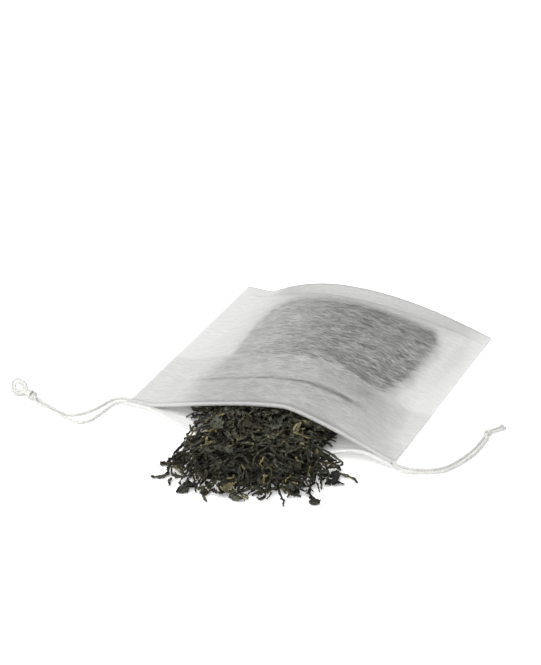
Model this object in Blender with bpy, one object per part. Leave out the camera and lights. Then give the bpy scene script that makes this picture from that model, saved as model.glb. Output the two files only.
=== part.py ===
"""Fillable tea bag of white filter paper, lying on a table with loose tea spilling from its mouth.

The mouth faces -Y and the seam at the bottom of the bag faces +Y. The origin lies under the middle of
the bag, on the flat underside of its lower sheet, where the bag rests on the table.
"""
import math
import random

import bmesh
import bpy
from mathutils import Vector
from mathutils.bvhtree import BVHTree

MM = 0.001

# Bag of filter paper
BAG_WIDTH = 100 * MM
BAG_DEPTH = 95.8 * MM
PAPER = 0.2 * MM
SIDE_SEAL = 3.0 * MM
BACK_SEAL = 5.4 * MM
HEM_WIDTH = 36 * MM
HEM_STEP = 0.3 * MM
WELD_FROM_MOUTH = 19 * MM
WELD_WIDTH = 0.9 * MM
WELD_DEPTH = 0.1 * MM
HUMP_HEIGHT = 13 * MM
FOOT_SOFTNESS = 1.3 * MM
LEAST_OPENING = 0.15 * MM
BACK_LIFT_LENGTH = 14 * MM
LIP_LEAD = 1.2 * MM
LIP_BULGE = 8 * MM
LIP_BULGE_LENGTH = 30 * MM
LIP_BULGE_SPAN = (-0.84, -0.14, 0.80)
LIP_BULGE_POWER = 1.2
MOUTH_LIFT = 3.4 * MM
MOUTH_LIFT_LENGTH = 16 * MM
MOUTH_LIFT_SPAN = (0.42, 0.78, 1.14)
MOUTH_CUT = 12 * MM
COLUMN_SPACING = 5.0 * MM
ROW_SPACING = 8.0 * MM
LIFTED_ROW_SPACING = 3.2 * MM

# LIP_BULGE_SPAN and MOUTH_LIFT_SPAN give the left end, the peak and the right end of each form, as shares of
# half the width.

# The arch of the upper sheet, from the mouth to the seam at the back. Each station gives how far back
# it lies (0 at the mouth, 1 at the seam), the height of its crest as a share of the hump, the crest and
# the two feet as shares of half the width, and how full the left and the right slopes are.
ARCH = [
    (0.00, 1.00, 0.22, -0.82, 1.06, 1.30, 1.30),
    (0.20, 1.02, 0.22, -0.82, 0.94, 1.50, 1.60),
    (0.38, 0.99, 0.12, -0.85, 0.82, 1.60, 1.70),
    (0.60, 1.00, 0.05, -0.80, 0.90, 1.90, 1.60),
    (0.76, 0.96, 0.00, -0.80, 0.98, 2.20, 1.60),
    (0.90, 0.74, 0.00, -0.80, 1.00, 2.30, 1.70),
    (0.945, 0.66, 0.00, -0.80, 1.02, 2.40, 1.80),
    (1.00, 0.80, 0.00, -0.80, 1.04, 2.40, 1.80),
]

# Drawstring and the channels that it runs in
STRING_DIAMETER = 1.0 * MM
STRING_CLEARANCE = 0.3 * MM
CHANNEL_WALL = 0.2 * MM
STRING_SIDES_RESOLUTION = 2
STRING_POINT_COUNT = 56
CHANNEL_SIDES = 8
BORE_OVERRUN = 2 * MM

# Routes of the free ends, in millimetres from the corner of the mouth where they come out
UPPER_LEFT = [(-2.6, 1.5, 0.8), (-4.9, 0.4, 0.5), (-6.3, -2.8, 0.5), (-7.5, -7.3, 0.5), (-9.6, -12.0, 0.5),
              (-12.5, -15.1, 0.5), (-15.9, -15.9, 0.5), (-22.2, -14.1, 0.5), (-28.7, -11.8, 0.6)]
LOWER_LEFT = [(-2.2, -1.5, 0.8), (-3.9, -3.7, 0.5), (-4.6, -9.4, 0.5), (-5.6, -15.2, 0.5), (-7.6, -18.2, 0.5),
              (-10.0, -18.9, 0.5), (-13.2, -18.2, 0.5), (-16.2, -17.4, 0.5), (-22.6, -15.5, 0.5),
              (-29.3, -13.2, 0.6)]
UPPER_RIGHT = [(2.3, 0.8, 1.2), (6.0, 1.5, 0.5), (9.8, 2.7, 0.5), (14.0, 4.9, 0.5), (16.6, 7.6, 0.5),
               (18.5, 11.6, 0.5), (20.0, 16.2, 0.5), (21.1, 21.5, 0.5), (21.5, 25.8, 0.5), (21.6, 30.0, 0.6)]
LOWER_RIGHT = [(2.6, -1.3, 1.1), (6.0, -0.9, 0.5), (10.2, 0.8, 0.5), (15.2, 3.5, 0.5), (17.7, 6.0, 0.5),
               (19.7, 10.1, 0.5), (21.3, 14.4, 0.5), (22.5, 19.7, 0.5), (22.9, 24.1, 0.5), (23.0, 29.9, 0.6)]

# Knots on the ends of the drawstring, in millimetres from the same corners
LOOP_KNOT_START = (-29.6, -12.2, 1.15)
LOOP_KNOT_END = (-34.6, -10.5, 2.1)
LOOP_KNOT_RADIUS = 1.15 * MM
LOOP_CENTRE = (-37.9, -10.4, 3.1)
LOOP_FACING = (0.36, -0.79, 0.50)
LOOP_RADIUS = 2.6 * MM
LOOP_ARC = (28, 332)
LOOP_STEPS = 12
LOOP_ENDS_APART = 0.6
TAIL_KNOT_START = (22.2, 30.6, 1.2)
TAIL_KNOT_END = (22.0, 34.0, 1.2)
TAIL_KNOT_RADIUS = 1.2 * MM
TAIL_ROUTES = [[(21.9, 33.0, 1.2), (23.0, 35.7, 0.9), (24.8, 38.8, 0.62)],
               [(22.2, 33.0, 1.1), (24.0, 35.3, 0.8), (25.7, 38.3, 0.62)]]
TAIL_STEPS = 7
KNOT_TWIST_TURNS = 0.8
KNOT_LOBES = 3
KNOT_LOBE_DEPTH = 0.16
KNOT_END_SHARE = 0.55
KNOT_SIDES = 9
KNOT_STEPS = 6

# Tea
GAP = 0.3 * MM
TEA_GAP = 0.4 * MM
TEA_LEFT = 31.5 * MM
TEA_RIGHT = 38.0 * MM
TEA_BACK = 9.0 * MM
TEA_CORNER_CUT = 0.35
TEA_CORNER_POWER = 8.0
TEA_SIDE_HEIGHT = 0.86
TEA_SIDE_POWER = 6
TEA_SPLIT = 3.5 * MM
HEAP_HEIGHT = 9.5 * MM
HEAP_FRONT_HEIGHT = 4.2 * MM
HEAP_LENGTH = 40 * MM
HEAP_FALL_POWER = 1.4
HEAP_EDGE_POWER = 3.0
HEAP_EDGE_HEIGHT = 0.5 * MM
HEAP_ROOF_GAP = 0.8 * MM
HEAP_RINGS = 12
HEAP_SECTORS = 40
HEAP_LEAVES = 40
HEAP_LEAF_FIELD = ((-20 * MM, 36 * MM), (-40 * MM, -3 * MM))
LOOSE_LEAF_FIELD = ((-24 * MM, 40 * MM), (-44 * MM, -3 * MM))
LOOSE_LEAVES = 46
LEAF_LENGTH = (7.5 * MM, 13.5 * MM)
LEAF_WIDTH = (1.5 * MM, 2.5 * MM)
LEAF_THICKNESS = 0.55
LEAF_BEND = 1.3
LEAF_TWIST = 2.4
LEAF_SAG = 1.2 * MM
LEAF_STATIONS = 6
LEAF_TRIES = 4000
LEAF_RISE = 3.5 * MM
CLEARANCE_REACH = 20 * MM
SEED = 11

# Outline of the spilled heap on the table, in millimetres from the middle of the mouth. It runs on into
# the bag, where the heap is cut off against the tea that fills the bag.
HEAP_CENTRE = (5.0, -14.0)
HEAP_OUTLINE = [(-24.0, 14.0), (-24.0, 4.0), (-23.0, -5.0), (-19.0, -12.0), (-19.0, -20.0), (-17.5, -29.0),
                (-12.5, -36.0), (-5.0, -39.0), (3.0, -40.0), (11.0, -38.0), (20.0, -33.5), (28.0, -29.5),
                (33.0, -22.0), (35.5, -14.0), (35.0, -6.0), (35.0, 2.0), (34.0, 12.0), (4.0, 22.0)]

# Values that follow from the ones above
HALF_WIDTH = BAG_WIDTH / 2
HALF_DEPTH = BAG_DEPTH / 2
MOUTH_Y = -HALF_DEPTH
LEFT_CORNER = Vector((-HALF_WIDTH, MOUTH_Y, 0))
RIGHT_CORNER = Vector((HALF_WIDTH, MOUTH_Y, 0))
BORE_RADIUS = STRING_DIAMETER / 2 + STRING_CLEARANCE
CHANNEL_RADIUS = BORE_RADIUS + CHANNEL_WALL


def clear_scene():
    """Remove every object that the startup file brings."""
    for item in list(bpy.data.objects):
        bpy.data.objects.remove(item, do_unlink=True)


def make_collection(name):
    """Make a collection under the scene's own."""
    collection = bpy.data.collections.new(name)
    bpy.context.scene.collection.children.link(collection)
    return collection


def make_material(name, colour, roughness):
    """Make a Principled material."""
    material = bpy.data.materials.new(name)
    material.use_nodes = True
    shader = material.node_tree.nodes["Principled BSDF"]
    shader.inputs["Base Color"].default_value = (*colour, 1.0)
    shader.inputs["Roughness"].default_value = roughness
    shader.inputs["Metallic"].default_value = 0.0
    return material


def add_object(name, mesh, collection, material=None):
    """Link a mesh or curve to a collection as one named object."""
    item = bpy.data.objects.new(name, mesh)
    collection.objects.link(item)
    if material is not None:
        mesh.materials.append(material)
    return item


def add_guide(name, mesh, collection):
    """Add a cutter or another guide that isn't part of the object."""
    guide = add_object(name, mesh, collection)
    guide.hide_render = True
    guide.display_type = "WIRE"
    return guide


def add_boolean(target, operand, operation):
    """Cut or join one closed body with another, by the exact method."""
    modifier = target.modifiers.new(f"{operation.lower()} {operand.name}", "BOOLEAN")
    modifier.operation = operation
    modifier.solver = "EXACT"
    if isinstance(operand, bpy.types.Collection):
        modifier.operand_type = "COLLECTION"
        modifier.collection = operand
    else:
        modifier.object = operand


def evaluated_tree(item):
    """Search tree of an object's surface with its modifiers on."""
    graph = bpy.context.evaluated_depsgraph_get()
    return BVHTree.FromObject(item, graph)


def mesh_tree(mesh):
    """Search tree of a mesh."""
    corners = [vertex.co for vertex in mesh.vertices]
    return BVHTree.FromPolygons(corners, [face.vertices for face in mesh.polygons])


def smooth_points(controls, count, closed=False):
    """Read evenly spaced points from a smooth curve through the control points."""
    controls = [Vector(point) for point in controls]
    spans = len(controls) if closed else len(controls) - 1
    fine = []
    for span in range(spans):
        if closed:
            a, b, c, d = (controls[(span + step) % len(controls)] for step in (-1, 0, 1, 2))
        else:
            b, c = controls[span], controls[span + 1]
            a = controls[span - 1] if span > 0 else 2 * b - c
            d = controls[span + 2] if span + 2 < len(controls) else 2 * c - b
        for step in range(16):
            t = step / 16
            fine.append(0.5 * (2 * b + (c - a) * t + (2 * a - 5 * b + 4 * c - d) * t ** 2
                               + (3 * b - a - 3 * c + d) * t ** 3))
    fine.append(controls[0].copy() if closed else controls[-1].copy())
    travelled = [0.0]
    for before, after in zip(fine, fine[1:]):
        travelled.append(travelled[-1] + (after - before).length)
    points = []
    place = 0
    steps = count if closed else count - 1
    for index in range(count):
        wanted = travelled[-1] * index / steps
        while place < len(fine) - 2 and travelled[place + 1] < wanted:
            place += 1
        share = (wanted - travelled[place]) / max(travelled[place + 1] - travelled[place], 1e-12)
        points.append(fine[place].lerp(fine[place + 1], min(share, 1.0)))
    return points


def arch_station(y):
    """Read the arch's values at one depth from a smooth curve through the stations."""
    back = min(max((y + HALF_DEPTH) / BAG_DEPTH, 0.0), 1.0)
    last = len(ARCH) - 2
    span = max(index for index in range(last + 1) if index == 0 or ARCH[index][0] <= back)
    b, c = ARCH[span], ARCH[span + 1]
    a = ARCH[max(span - 1, 0)]
    d = ARCH[min(span + 2, last + 1)]
    width = c[0] - b[0]
    t = (back - b[0]) / width
    values = []
    for column in range(1, len(b)):
        rise_in = (c[column] - a[column]) / (c[0] - a[0]) * width
        rise_out = (d[column] - b[column]) / (d[0] - b[0]) * width
        values.append((2 * t ** 3 - 3 * t ** 2 + 1) * b[column] + (t ** 3 - 2 * t ** 2 + t) * rise_in
                      + (3 * t ** 2 - 2 * t ** 3) * c[column] + (t ** 3 - t ** 2) * rise_out)
    return values


def arch_height(x, y):
    """Height of the upper sheet over the table, not counting the paper itself."""
    height, crest, left, right, left_power, right_power = arch_station(y)
    crest_x = crest * HALF_WIDTH
    if x < crest_x:
        share = (crest_x - x) / (crest_x - left * HALF_WIDTH)
        power = left_power
    else:
        share = (x - crest_x) / (right * HALF_WIDTH - crest_x)
        power = right_power
    raw = height * HUMP_HEIGHT * (1 - share ** power)
    return 0.5 * (raw + math.sqrt(raw ** 2 + FOOT_SOFTNESS ** 2))


def mouth_lift(x, y):
    """Height of both sheets over the table near the right corner of the mouth."""
    left, peak, right = MOUTH_LIFT_SPAN
    share = x / HALF_WIDTH
    side = (share - peak) / (right - peak if share > peak else peak - left)
    back = (y - MOUTH_Y) / MOUTH_LIFT_LENGTH
    if abs(side) >= 1 or back >= 1:
        return 0.0
    return MOUTH_LIFT * math.cos(side * math.pi / 2) ** 2 * math.cos(max(back, 0) * math.pi / 2) ** 2


def underside(x, y):
    """Height of the lower sheet's underside, which is flat on the table and rises to the back seam."""
    seam_y = HALF_DEPTH - BACK_SEAL
    rise = min(max((y - seam_y + BACK_LIFT_LENGTH) / BACK_LIFT_LENGTH, 0.0), 1.0) ** 2
    flat = 0.5 * FOOT_SOFTNESS
    back = max(arch_height(x, y) - flat, 0.0) * rise
    return max(back, mouth_lift(x, y))


def inner_top(x, y):
    """Height of the upper sheet's inner face."""
    opening = max(arch_height(x, y), underside(x, y) + PAPER + LEAST_OPENING)
    return opening + PAPER


def is_sealed(x, y):
    """Say whether both sheets are joined here, along a side or the back."""
    side = abs(x) > HALF_WIDTH - SIDE_SEAL + 1e-6
    return side or y > HALF_DEPTH - BACK_SEAL - 1e-6


def outer_top(x, y):
    """Height of the upper sheet's outer face, with its folded hem and the weld across it."""
    depth = y - MOUTH_Y
    if is_sealed(x, y):
        height = underside(x, y) + 2 * PAPER
    else:
        height = inner_top(x, y) + PAPER
    if depth < HEM_WIDTH + 1e-6:
        height += PAPER
        if abs(depth - WELD_FROM_MOUTH) < WELD_WIDTH / 2 - 1e-6:
            height -= WELD_DEPTH
    return height


def lip_reach(x):
    """How far the lower sheet's mouth edge lies in front of the upper one's."""
    left, peak, right = LIP_BULGE_SPAN
    side = x / HALF_WIDTH
    share = (side - peak) / ((left if side < peak else right) - peak)
    bulge = math.cos(share * math.pi / 2) ** LIP_BULGE_POWER if share < 1 else 0.0
    return LIP_LEAD + LIP_BULGE * bulge


def lower_y(x, y):
    """Move a row of the lower sheet forward where the lip bulges out."""
    share = max(1 - (y - MOUTH_Y - CHANNEL_RADIUS) / LIP_BULGE_LENGTH, 0.0)
    return y - (lip_reach(x) + CHANNEL_RADIUS) * share ** 2


def spread(start, end, spacing):
    """Evenly spaced values from start to end, about one spacing apart."""
    count = max(int(round((end - start) / spacing)), 1)
    return [start + (end - start) * index / count for index in range(count + 1)]


def loft_mesh(name, columns, rows, top_point, bottom_point):
    """Closed mesh between an upper and a lower surface over the same columns and rows."""
    body = bmesh.new()
    top = [[body.verts.new(top_point(x, y)) for x in columns] for y in rows]
    bottom = [[body.verts.new(bottom_point(x, y)) for x in columns] for y in rows]
    for r in range(len(rows) - 1):
        for c in range(len(columns) - 1):
            body.faces.new((top[r][c], top[r][c + 1], top[r + 1][c + 1], top[r + 1][c]))
            body.faces.new((bottom[r][c], bottom[r + 1][c], bottom[r + 1][c + 1], bottom[r][c + 1]))
    for r in range(len(rows) - 1):
        body.faces.new((top[r][0], top[r + 1][0], bottom[r + 1][0], bottom[r][0]))
        body.faces.new((top[r][-1], bottom[r][-1], bottom[r + 1][-1], top[r + 1][-1]))
    for c in range(len(columns) - 1):
        body.faces.new((top[0][c], bottom[0][c], bottom[0][c + 1], top[0][c + 1]))
        body.faces.new((top[-1][c], top[-1][c + 1], bottom[-1][c + 1], bottom[-1][c]))
    bmesh.ops.triangulate(body, faces=body.faces)
    mesh = bpy.data.meshes.new(name)
    body.to_mesh(mesh)
    body.free()
    return mesh


def path_frames(points):
    """Two cross directions at each point of a path, carried along without twist."""
    frames = []
    side = None
    for index, point in enumerate(points):
        before = points[max(index - 1, 0)]
        after = points[min(index + 1, len(points) - 1)]
        along = (after - before).normalized()
        if side is None:
            side = along.cross(Vector((0, 0, 1))).normalized()
        side = (side - along * side.dot(along)).normalized()
        frames.append((side, along.cross(side)))
    return frames


def tube_mesh(name, points, section):
    """Closed mesh along a path. The section gives the ring's outline at each share of the length."""
    body = bmesh.new()
    rings = []
    for index, (point, (side, lift)) in enumerate(zip(points, path_frames(points))):
        outline = section(index / (len(points) - 1))
        rings.append([body.verts.new(point + side * a + lift * b) for a, b in outline])
    sides = len(rings[0])
    for near, far in zip(rings, rings[1:]):
        for k in range(sides):
            body.faces.new((near[k], near[(k + 1) % sides], far[(k + 1) % sides], far[k]))
    body.faces.new(list(reversed(rings[0])))
    body.faces.new(rings[-1])
    bmesh.ops.recalc_face_normals(body, faces=body.faces)
    bmesh.ops.triangulate(body, faces=body.faces)
    mesh = bpy.data.meshes.new(name)
    body.to_mesh(mesh)
    body.free()
    return mesh


def round_section(radius, sides=CHANNEL_SIDES):
    """Section of a plain round tube, with a flat side down."""
    angles = [2 * math.pi * (k + 0.5) / sides for k in range(sides)]
    ring = [(radius * math.cos(angle), radius * math.sin(angle)) for angle in angles]
    return lambda share: ring


def bag_columns():
    """Columns across the bag, with one on the edge of each side seal."""
    inner = HALF_WIDTH - SIDE_SEAL
    return [-HALF_WIDTH] + spread(-inner, inner, COLUMN_SPACING) + [HALF_WIDTH]


def bag_rows():
    """Rows from the mouth to the back edge, with pairs at the weld, the hem's edge and the seal."""
    start = MOUTH_Y + CHANNEL_RADIUS
    weld = MOUTH_Y + WELD_FROM_MOUTH
    hem = MOUTH_Y + HEM_WIDTH
    seal = HALF_DEPTH - BACK_SEAL
    rows = spread(start, weld - WELD_WIDTH / 2 - WELD_DEPTH, ROW_SPACING)
    rows += [weld - WELD_WIDTH / 2 + WELD_DEPTH, weld + WELD_WIDTH / 2 - WELD_DEPTH]
    rows += spread(weld + WELD_WIDTH / 2 + WELD_DEPTH, hem, ROW_SPACING)
    rows += space_rows(hem + HEM_STEP)
    rows += spread(seal, HALF_DEPTH, ROW_SPACING)
    return rows


def space_rows(start):
    """Rows of the space inside the bag, closer together where the lower sheet rises to the seal."""
    end = HALF_DEPTH - BACK_SEAL - HEM_STEP
    lift = end - BACK_LIFT_LENGTH
    return spread(start, lift, ROW_SPACING) + spread(lift, end, LIFTED_ROW_SPACING)[1:]


def upper_rim(x):
    """Middle of the upper string channel."""
    y = MOUTH_Y + CHANNEL_RADIUS
    paper_middle = inner_top(x, y) + PAPER
    return Vector((x, y, max(paper_middle, underside(x, y) + CHANNEL_RADIUS)))


def lower_rim(x):
    """Middle of the lower string channel."""
    return Vector((x, MOUTH_Y - lip_reach(x), mouth_lift(x, MOUTH_Y) + CHANNEL_RADIUS))


def make_filter_bag(collection, cutters, material):
    """Paper bag: two sheets sealed at the sides and back, a folded hem and two string channels."""
    columns = bag_columns()
    rows = bag_rows()

    def outside(x, y):
        return x, y, outer_top(x, y)

    def below(x, y):
        return x, lower_y(x, y), underside(x, y)

    sheets = loft_mesh("filter_bag", columns, rows, outside, below)
    bag = add_object("filter_bag", sheets, collection, material)

    inner_rows = [MOUTH_Y - MOUTH_CUT] + space_rows(MOUTH_Y + CHANNEL_RADIUS)

    def inner_roof(x, y):
        return x, y, inner_top(x, max(y, MOUTH_Y + CHANNEL_RADIUS))

    def inner_floor(x, y):
        inside = max(y, MOUTH_Y + CHANNEL_RADIUS)
        return x, lower_y(x, inside) + min(y - inside, 0), underside(x, inside) + PAPER

    space = loft_mesh("bag_space", columns[1:-1], inner_rows, inner_roof, inner_floor)
    add_boolean(bag, add_guide("bag_space", space, cutters), "DIFFERENCE")
    ends = spread(-HALF_WIDTH, HALF_WIDTH, COLUMN_SPACING)
    for side, rim in (("upper", upper_rim), ("lower", lower_rim)):
        path = [rim(x) for x in ends]
        channel = tube_mesh(f"{side}_channel", path, round_section(CHANNEL_RADIUS))
        add_boolean(bag, add_guide(f"{side}_channel", channel, cutters), "UNION")
    for side, rim in (("upper", upper_rim), ("lower", lower_rim)):
        path = [rim(x) for x in ends]
        outward = Vector((BORE_OVERRUN, 0, 0))
        path = [path[0] - outward] + path + [path[-1] + outward]
        bore = tube_mesh(f"{side}_bore", path, round_section(BORE_RADIUS))
        add_boolean(bag, add_guide(f"{side}_bore", bore, cutters), "DIFFERENCE")
    return bag


def make_tea_in_bag(collection, material):
    """Tea that fills the bag, up to the paper on every side."""
    front = MOUTH_Y + TEA_SPLIT + GAP
    back = HALF_DEPTH - TEA_BACK
    middle = (TEA_RIGHT - TEA_LEFT) / 2
    half = (TEA_RIGHT + TEA_LEFT) / 2

    def place(s, y):
        depth = max((y - front) / (back - front), 0.0)
        return middle + half * s * (1 - TEA_CORNER_CUT * depth ** TEA_CORNER_POWER)

    def top(s, y):
        x = place(s, y)
        edge = TEA_SIDE_HEIGHT + (1 - TEA_SIDE_HEIGHT) * math.sqrt(max(1 - s ** TEA_SIDE_POWER, 0))
        floor = underside(x, y) + PAPER + TEA_GAP
        return x, y, floor + (inner_top(x, y) - TEA_GAP - floor) * edge

    def bottom(s, y):
        x = place(s, y)
        return x, y, underside(x, y) + PAPER + TEA_GAP

    shares = spread(-1, 1, COLUMN_SPACING / half)
    between = [y for y in space_rows(MOUTH_Y + CHANNEL_RADIUS) if front + 1 * MM < y < back - 1 * MM]
    mesh = loft_mesh("tea_in_bag", shares, [front] + between + [back], top, bottom)
    return add_object("tea_in_bag", mesh, collection, material)


def heap_outline():
    """Outline of the heap on the table."""
    return smooth_points([(x * MM, y * MM + MOUTH_Y, 0) for x, y in HEAP_OUTLINE], HEAP_SECTORS, closed=True)


def heap_height(x, y, share):
    """Height of the heap: highest at the mouth, falling to its front and edges."""
    depth = min(max((MOUTH_Y - y) / HEAP_LENGTH, 0.0), 1.0)
    crest = HEAP_HEIGHT + (HEAP_FRONT_HEIGHT - HEAP_HEIGHT) * depth ** HEAP_FALL_POWER
    height = crest * max(1 - share ** HEAP_EDGE_POWER, 0.0) ** 0.75
    roof = upper_rim(x).z - CHANNEL_RADIUS - HEAP_ROOF_GAP
    clearance = max(MOUTH_Y - CHANNEL_RADIUS - y, 0.0)
    return min(height, roof + 1.5 * clearance)


def outline_share(x, y, outline, centre):
    """How far out a point lies between the heap's centre (0) and its outline (1)."""
    offset = Vector((x - centre.x, y - centre.y))
    if offset.length < 1e-9:
        return 0.0
    for a, b in zip(outline, outline[1:] + outline[:1]):
        edge = Vector((b.x - a.x, b.y - a.y))
        start = Vector((a.x - centre.x, a.y - centre.y))
        cross = offset.x * edge.y - offset.y * edge.x
        if abs(cross) < 1e-15:
            continue
        reach = (start.x * edge.y - start.y * edge.x) / cross
        along = (start.x * offset.y - start.y * offset.x) / cross
        if reach > 0 and -1e-9 <= along <= 1 + 1e-9:
            return 1 / reach
    return 2.0


def heap_mesh(outline, centre):
    """Closed mound with a flat bottom on the table and a low edge."""
    body = bmesh.new()
    rings = []
    for ring in range(1, HEAP_RINGS + 1):
        share = (ring / HEAP_RINGS) ** 0.85
        points = [centre.lerp(point, share) for point in outline]
        heights = [max(heap_height(p.x, p.y, share), HEAP_EDGE_HEIGHT) for p in points]
        rings.append([body.verts.new((p.x, p.y, z)) for p, z in zip(points, heights)])
    crown = body.verts.new((centre.x, centre.y, heap_height(centre.x, centre.y, 0)))
    base = [body.verts.new((p.x, p.y, 0)) for p in outline]
    foot = body.verts.new((centre.x, centre.y, 0))
    count = len(outline)
    for k in range(count):
        n = (k + 1) % count
        body.faces.new((crown, rings[0][k], rings[0][n]))
        for near, far in zip(rings, rings[1:]):
            body.faces.new((near[k], far[k], far[n], near[n]))
        body.faces.new((rings[-1][k], base[k], base[n], rings[-1][n]))
        body.faces.new((foot, base[n], base[k]))
    bmesh.ops.recalc_face_normals(body, faces=body.faces)
    bmesh.ops.triangulate(body, faces=body.faces)
    mesh = bpy.data.meshes.new("tea_heap")
    body.to_mesh(mesh)
    body.free()
    return mesh


def leaf_section(width, twist, grow=0.0):
    """Section of a rolled, twisted leaf: a flat blade with one curled edge, thin at both tips."""
    outline = [(1.0, 0.05), (0.35, 0.85), (-0.65, 0.75), (-1.0, -0.1), (0.1, -0.45)]

    def section(share):
        taper = math.sin(math.pi * (0.06 + 0.88 * share)) ** 0.6
        half = 0.5 * width * taper
        angle = twist * (share - 0.5)
        ring = []
        for a, b in outline:
            across = a * half
            up = b * half * LEAF_THICKNESS
            reach = math.hypot(across, up)
            scale = (reach + grow) / reach
            across, up = across * scale, up * scale
            ring.append((across * math.cos(angle) - up * math.sin(angle),
                         across * math.sin(angle) + up * math.cos(angle)))
        return ring

    return section


def leaf_plan(chance, x, y):
    """Choose one leaf's size, heading and bend."""
    length = chance.uniform(*LEAF_LENGTH)
    width = chance.uniform(*LEAF_WIDTH)
    heading = chance.uniform(0, 2 * math.pi)
    bend = chance.uniform(-LEAF_BEND, LEAF_BEND)
    twist = chance.uniform(-LEAF_TWIST, LEAF_TWIST)
    points = []
    place = Vector((x, y, 0))
    step = length / (LEAF_STATIONS - 1)
    back = Vector((math.cos(heading), math.sin(heading), 0)) * length / 2
    for index in range(LEAF_STATIONS):
        points.append(place - back)
        angle = heading + bend * ((index + 0.5) / (LEAF_STATIONS - 1) - 0.5)
        place = place + Vector((math.cos(angle), math.sin(angle), 0)) * step
    return points, width, twist


def make_tea_heap(collection, cutters, material):
    """Spilled heap: a mound with leaves standing out of it, cut clear of the bag's lower lip."""
    outline = heap_outline()
    centre = Vector((HEAP_CENTRE[0] * MM, HEAP_CENTRE[1] * MM + MOUTH_Y, 0))
    heap = add_object("tea_heap", heap_mesh(outline, centre), collection, material)
    mound = mesh_tree(heap.data)
    leaves = bpy.data.collections.new("heap_leaves")
    cutters.children.link(leaves)
    chance = random.Random(SEED)
    placed = 0
    while placed < HEAP_LEAVES:
        x = chance.uniform(*HEAP_LEAF_FIELD[0])
        y = chance.uniform(*HEAP_LEAF_FIELD[1]) + MOUTH_Y
        points, width, twist = leaf_plan(chance, x, y)
        shares = [outline_share(p.x, p.y, outline, centre) for p in points]
        front = MOUTH_Y - CHANNEL_RADIUS - width
        if max(shares) > 1.02 or min(shares) > 0.93 or max(p.y for p in points) > front:
            continue
        for point in points:
            point.z = max(surface_below([mound], point.x, point.y), 0.5 * width)
        mesh = tube_mesh(f"heap_leaf_{placed + 1:02d}", points, leaf_section(width, twist))
        add_guide(mesh.name, mesh, leaves)
        placed += 1
    add_boolean(heap, leaves, "UNION")

    def over_lip(x, y):
        return x, y - lip_reach(x), mouth_lift(x, MOUTH_Y) + 2 * CHANNEL_RADIUS + GAP

    def under_lip(x, y):
        return x, y - lip_reach(x), -HUMP_HEIGHT

    reach = [MOUTH_Y - CHANNEL_RADIUS - GAP, MOUTH_Y + CLEARANCE_REACH]
    columns = spread(-HALF_WIDTH, HALF_WIDTH, COLUMN_SPACING)
    lip = add_guide("lip_clearance", loft_mesh("lip_clearance", columns, reach, over_lip, under_lip), cutters)
    add_boolean(heap, lip, "DIFFERENCE")

    def high(x, y):
        return x, y, HUMP_HEIGHT * 3

    def low(x, y):
        return x, y, -HUMP_HEIGHT

    inside = [MOUTH_Y + TEA_SPLIT, MOUTH_Y + BAG_DEPTH]
    split = loft_mesh("tea_split", [-HALF_WIDTH, HALF_WIDTH], inside, high, low)
    add_boolean(heap, add_guide("tea_split", split, cutters), "DIFFERENCE")
    return heap


def surface_below(trees, x, y):
    """Height of the highest surface under a point, or of the table."""
    highest = 0.0
    for tree in trees:
        hit = tree.ray_cast(Vector((x, y, 0.1)), Vector((0, 0, -1)))[0]
        if hit is not None:
            highest = max(highest, hit.z)
    return highest


def drape_leaf(points, width, twist, trees):
    """Lay a stiff leaf on what is under it, clear by the gap, or return nothing if it can't lie there."""
    section = leaf_section(width, twist, GAP)
    frames = path_frames(points)
    needed = []
    for index, (point, (side, lift)) in enumerate(zip(points, frames)):
        least = 0.0
        for a, b in section(index / (len(points) - 1)):
            corner = point + side * a
            least = max(least, surface_below(trees, corner.x, corner.y) - b * lift.z)
        needed.append(least)
    last = len(points) - 1
    tilt = (needed[last] - needed[0]) / last
    sag = needed[last // 2] - 0.5 * (needed[0] + needed[last])
    sag = max(min(sag, LEAF_SAG), -LEAF_SAG)
    curve = [needed[0] + tilt * k + sag * 4 * (k / last) * (1 - k / last) for k in range(last + 1)]
    lifted = max(need - have for need, have in zip(needed, curve))
    for point, height in zip(points, curve):
        point.z = height + lifted
    return points


def make_loose_leaves(collection, material, heap, bag):
    """Separate leaves that lie on the heap and around its foot."""
    outline = heap_outline()
    centre = Vector((HEAP_CENTRE[0] * MM, HEAP_CENTRE[1] * MM + MOUTH_Y, 0))
    trees = [evaluated_tree(heap), evaluated_tree(bag)]
    chance = random.Random(SEED + 1)
    placed = 0
    for _ in range(LEAF_TRIES):
        if placed == LOOSE_LEAVES:
            break
        x = chance.uniform(*LOOSE_LEAF_FIELD[0])
        y = chance.uniform(*LOOSE_LEAF_FIELD[1]) + MOUTH_Y
        points, width, twist = leaf_plan(chance, x, y)
        shares = [outline_share(p.x, p.y, outline, centre) for p in points]
        front = MOUTH_Y - 2 * CHANNEL_RADIUS - width
        rim_leaf = placed % 2 == 0
        if rim_leaf and not (min(shares) < 0.93 and 1.02 < max(shares) < 1.3):
            continue
        if not rim_leaf and max(shares) > 0.95:
            continue
        if max(p.y for p in points) > front:
            continue
        points = drape_leaf(points, width, twist, trees)
        if max(p.z for p in points) > HEAP_HEIGHT + LEAF_RISE:
            continue
        name = f"tea_leaf_{placed + 1:02d}"
        grown = tube_mesh(name, points, leaf_section(width, twist, GAP * 0.9))
        reach = mesh_tree(grown)
        bpy.data.meshes.remove(grown)
        if any(reach.overlap(other) for other in trees):
            continue
        mesh = tube_mesh(name, points, leaf_section(width, twist))
        trees.append(mesh_tree(mesh))
        add_object(name, mesh, collection, material)
        placed += 1
    return placed


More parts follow.
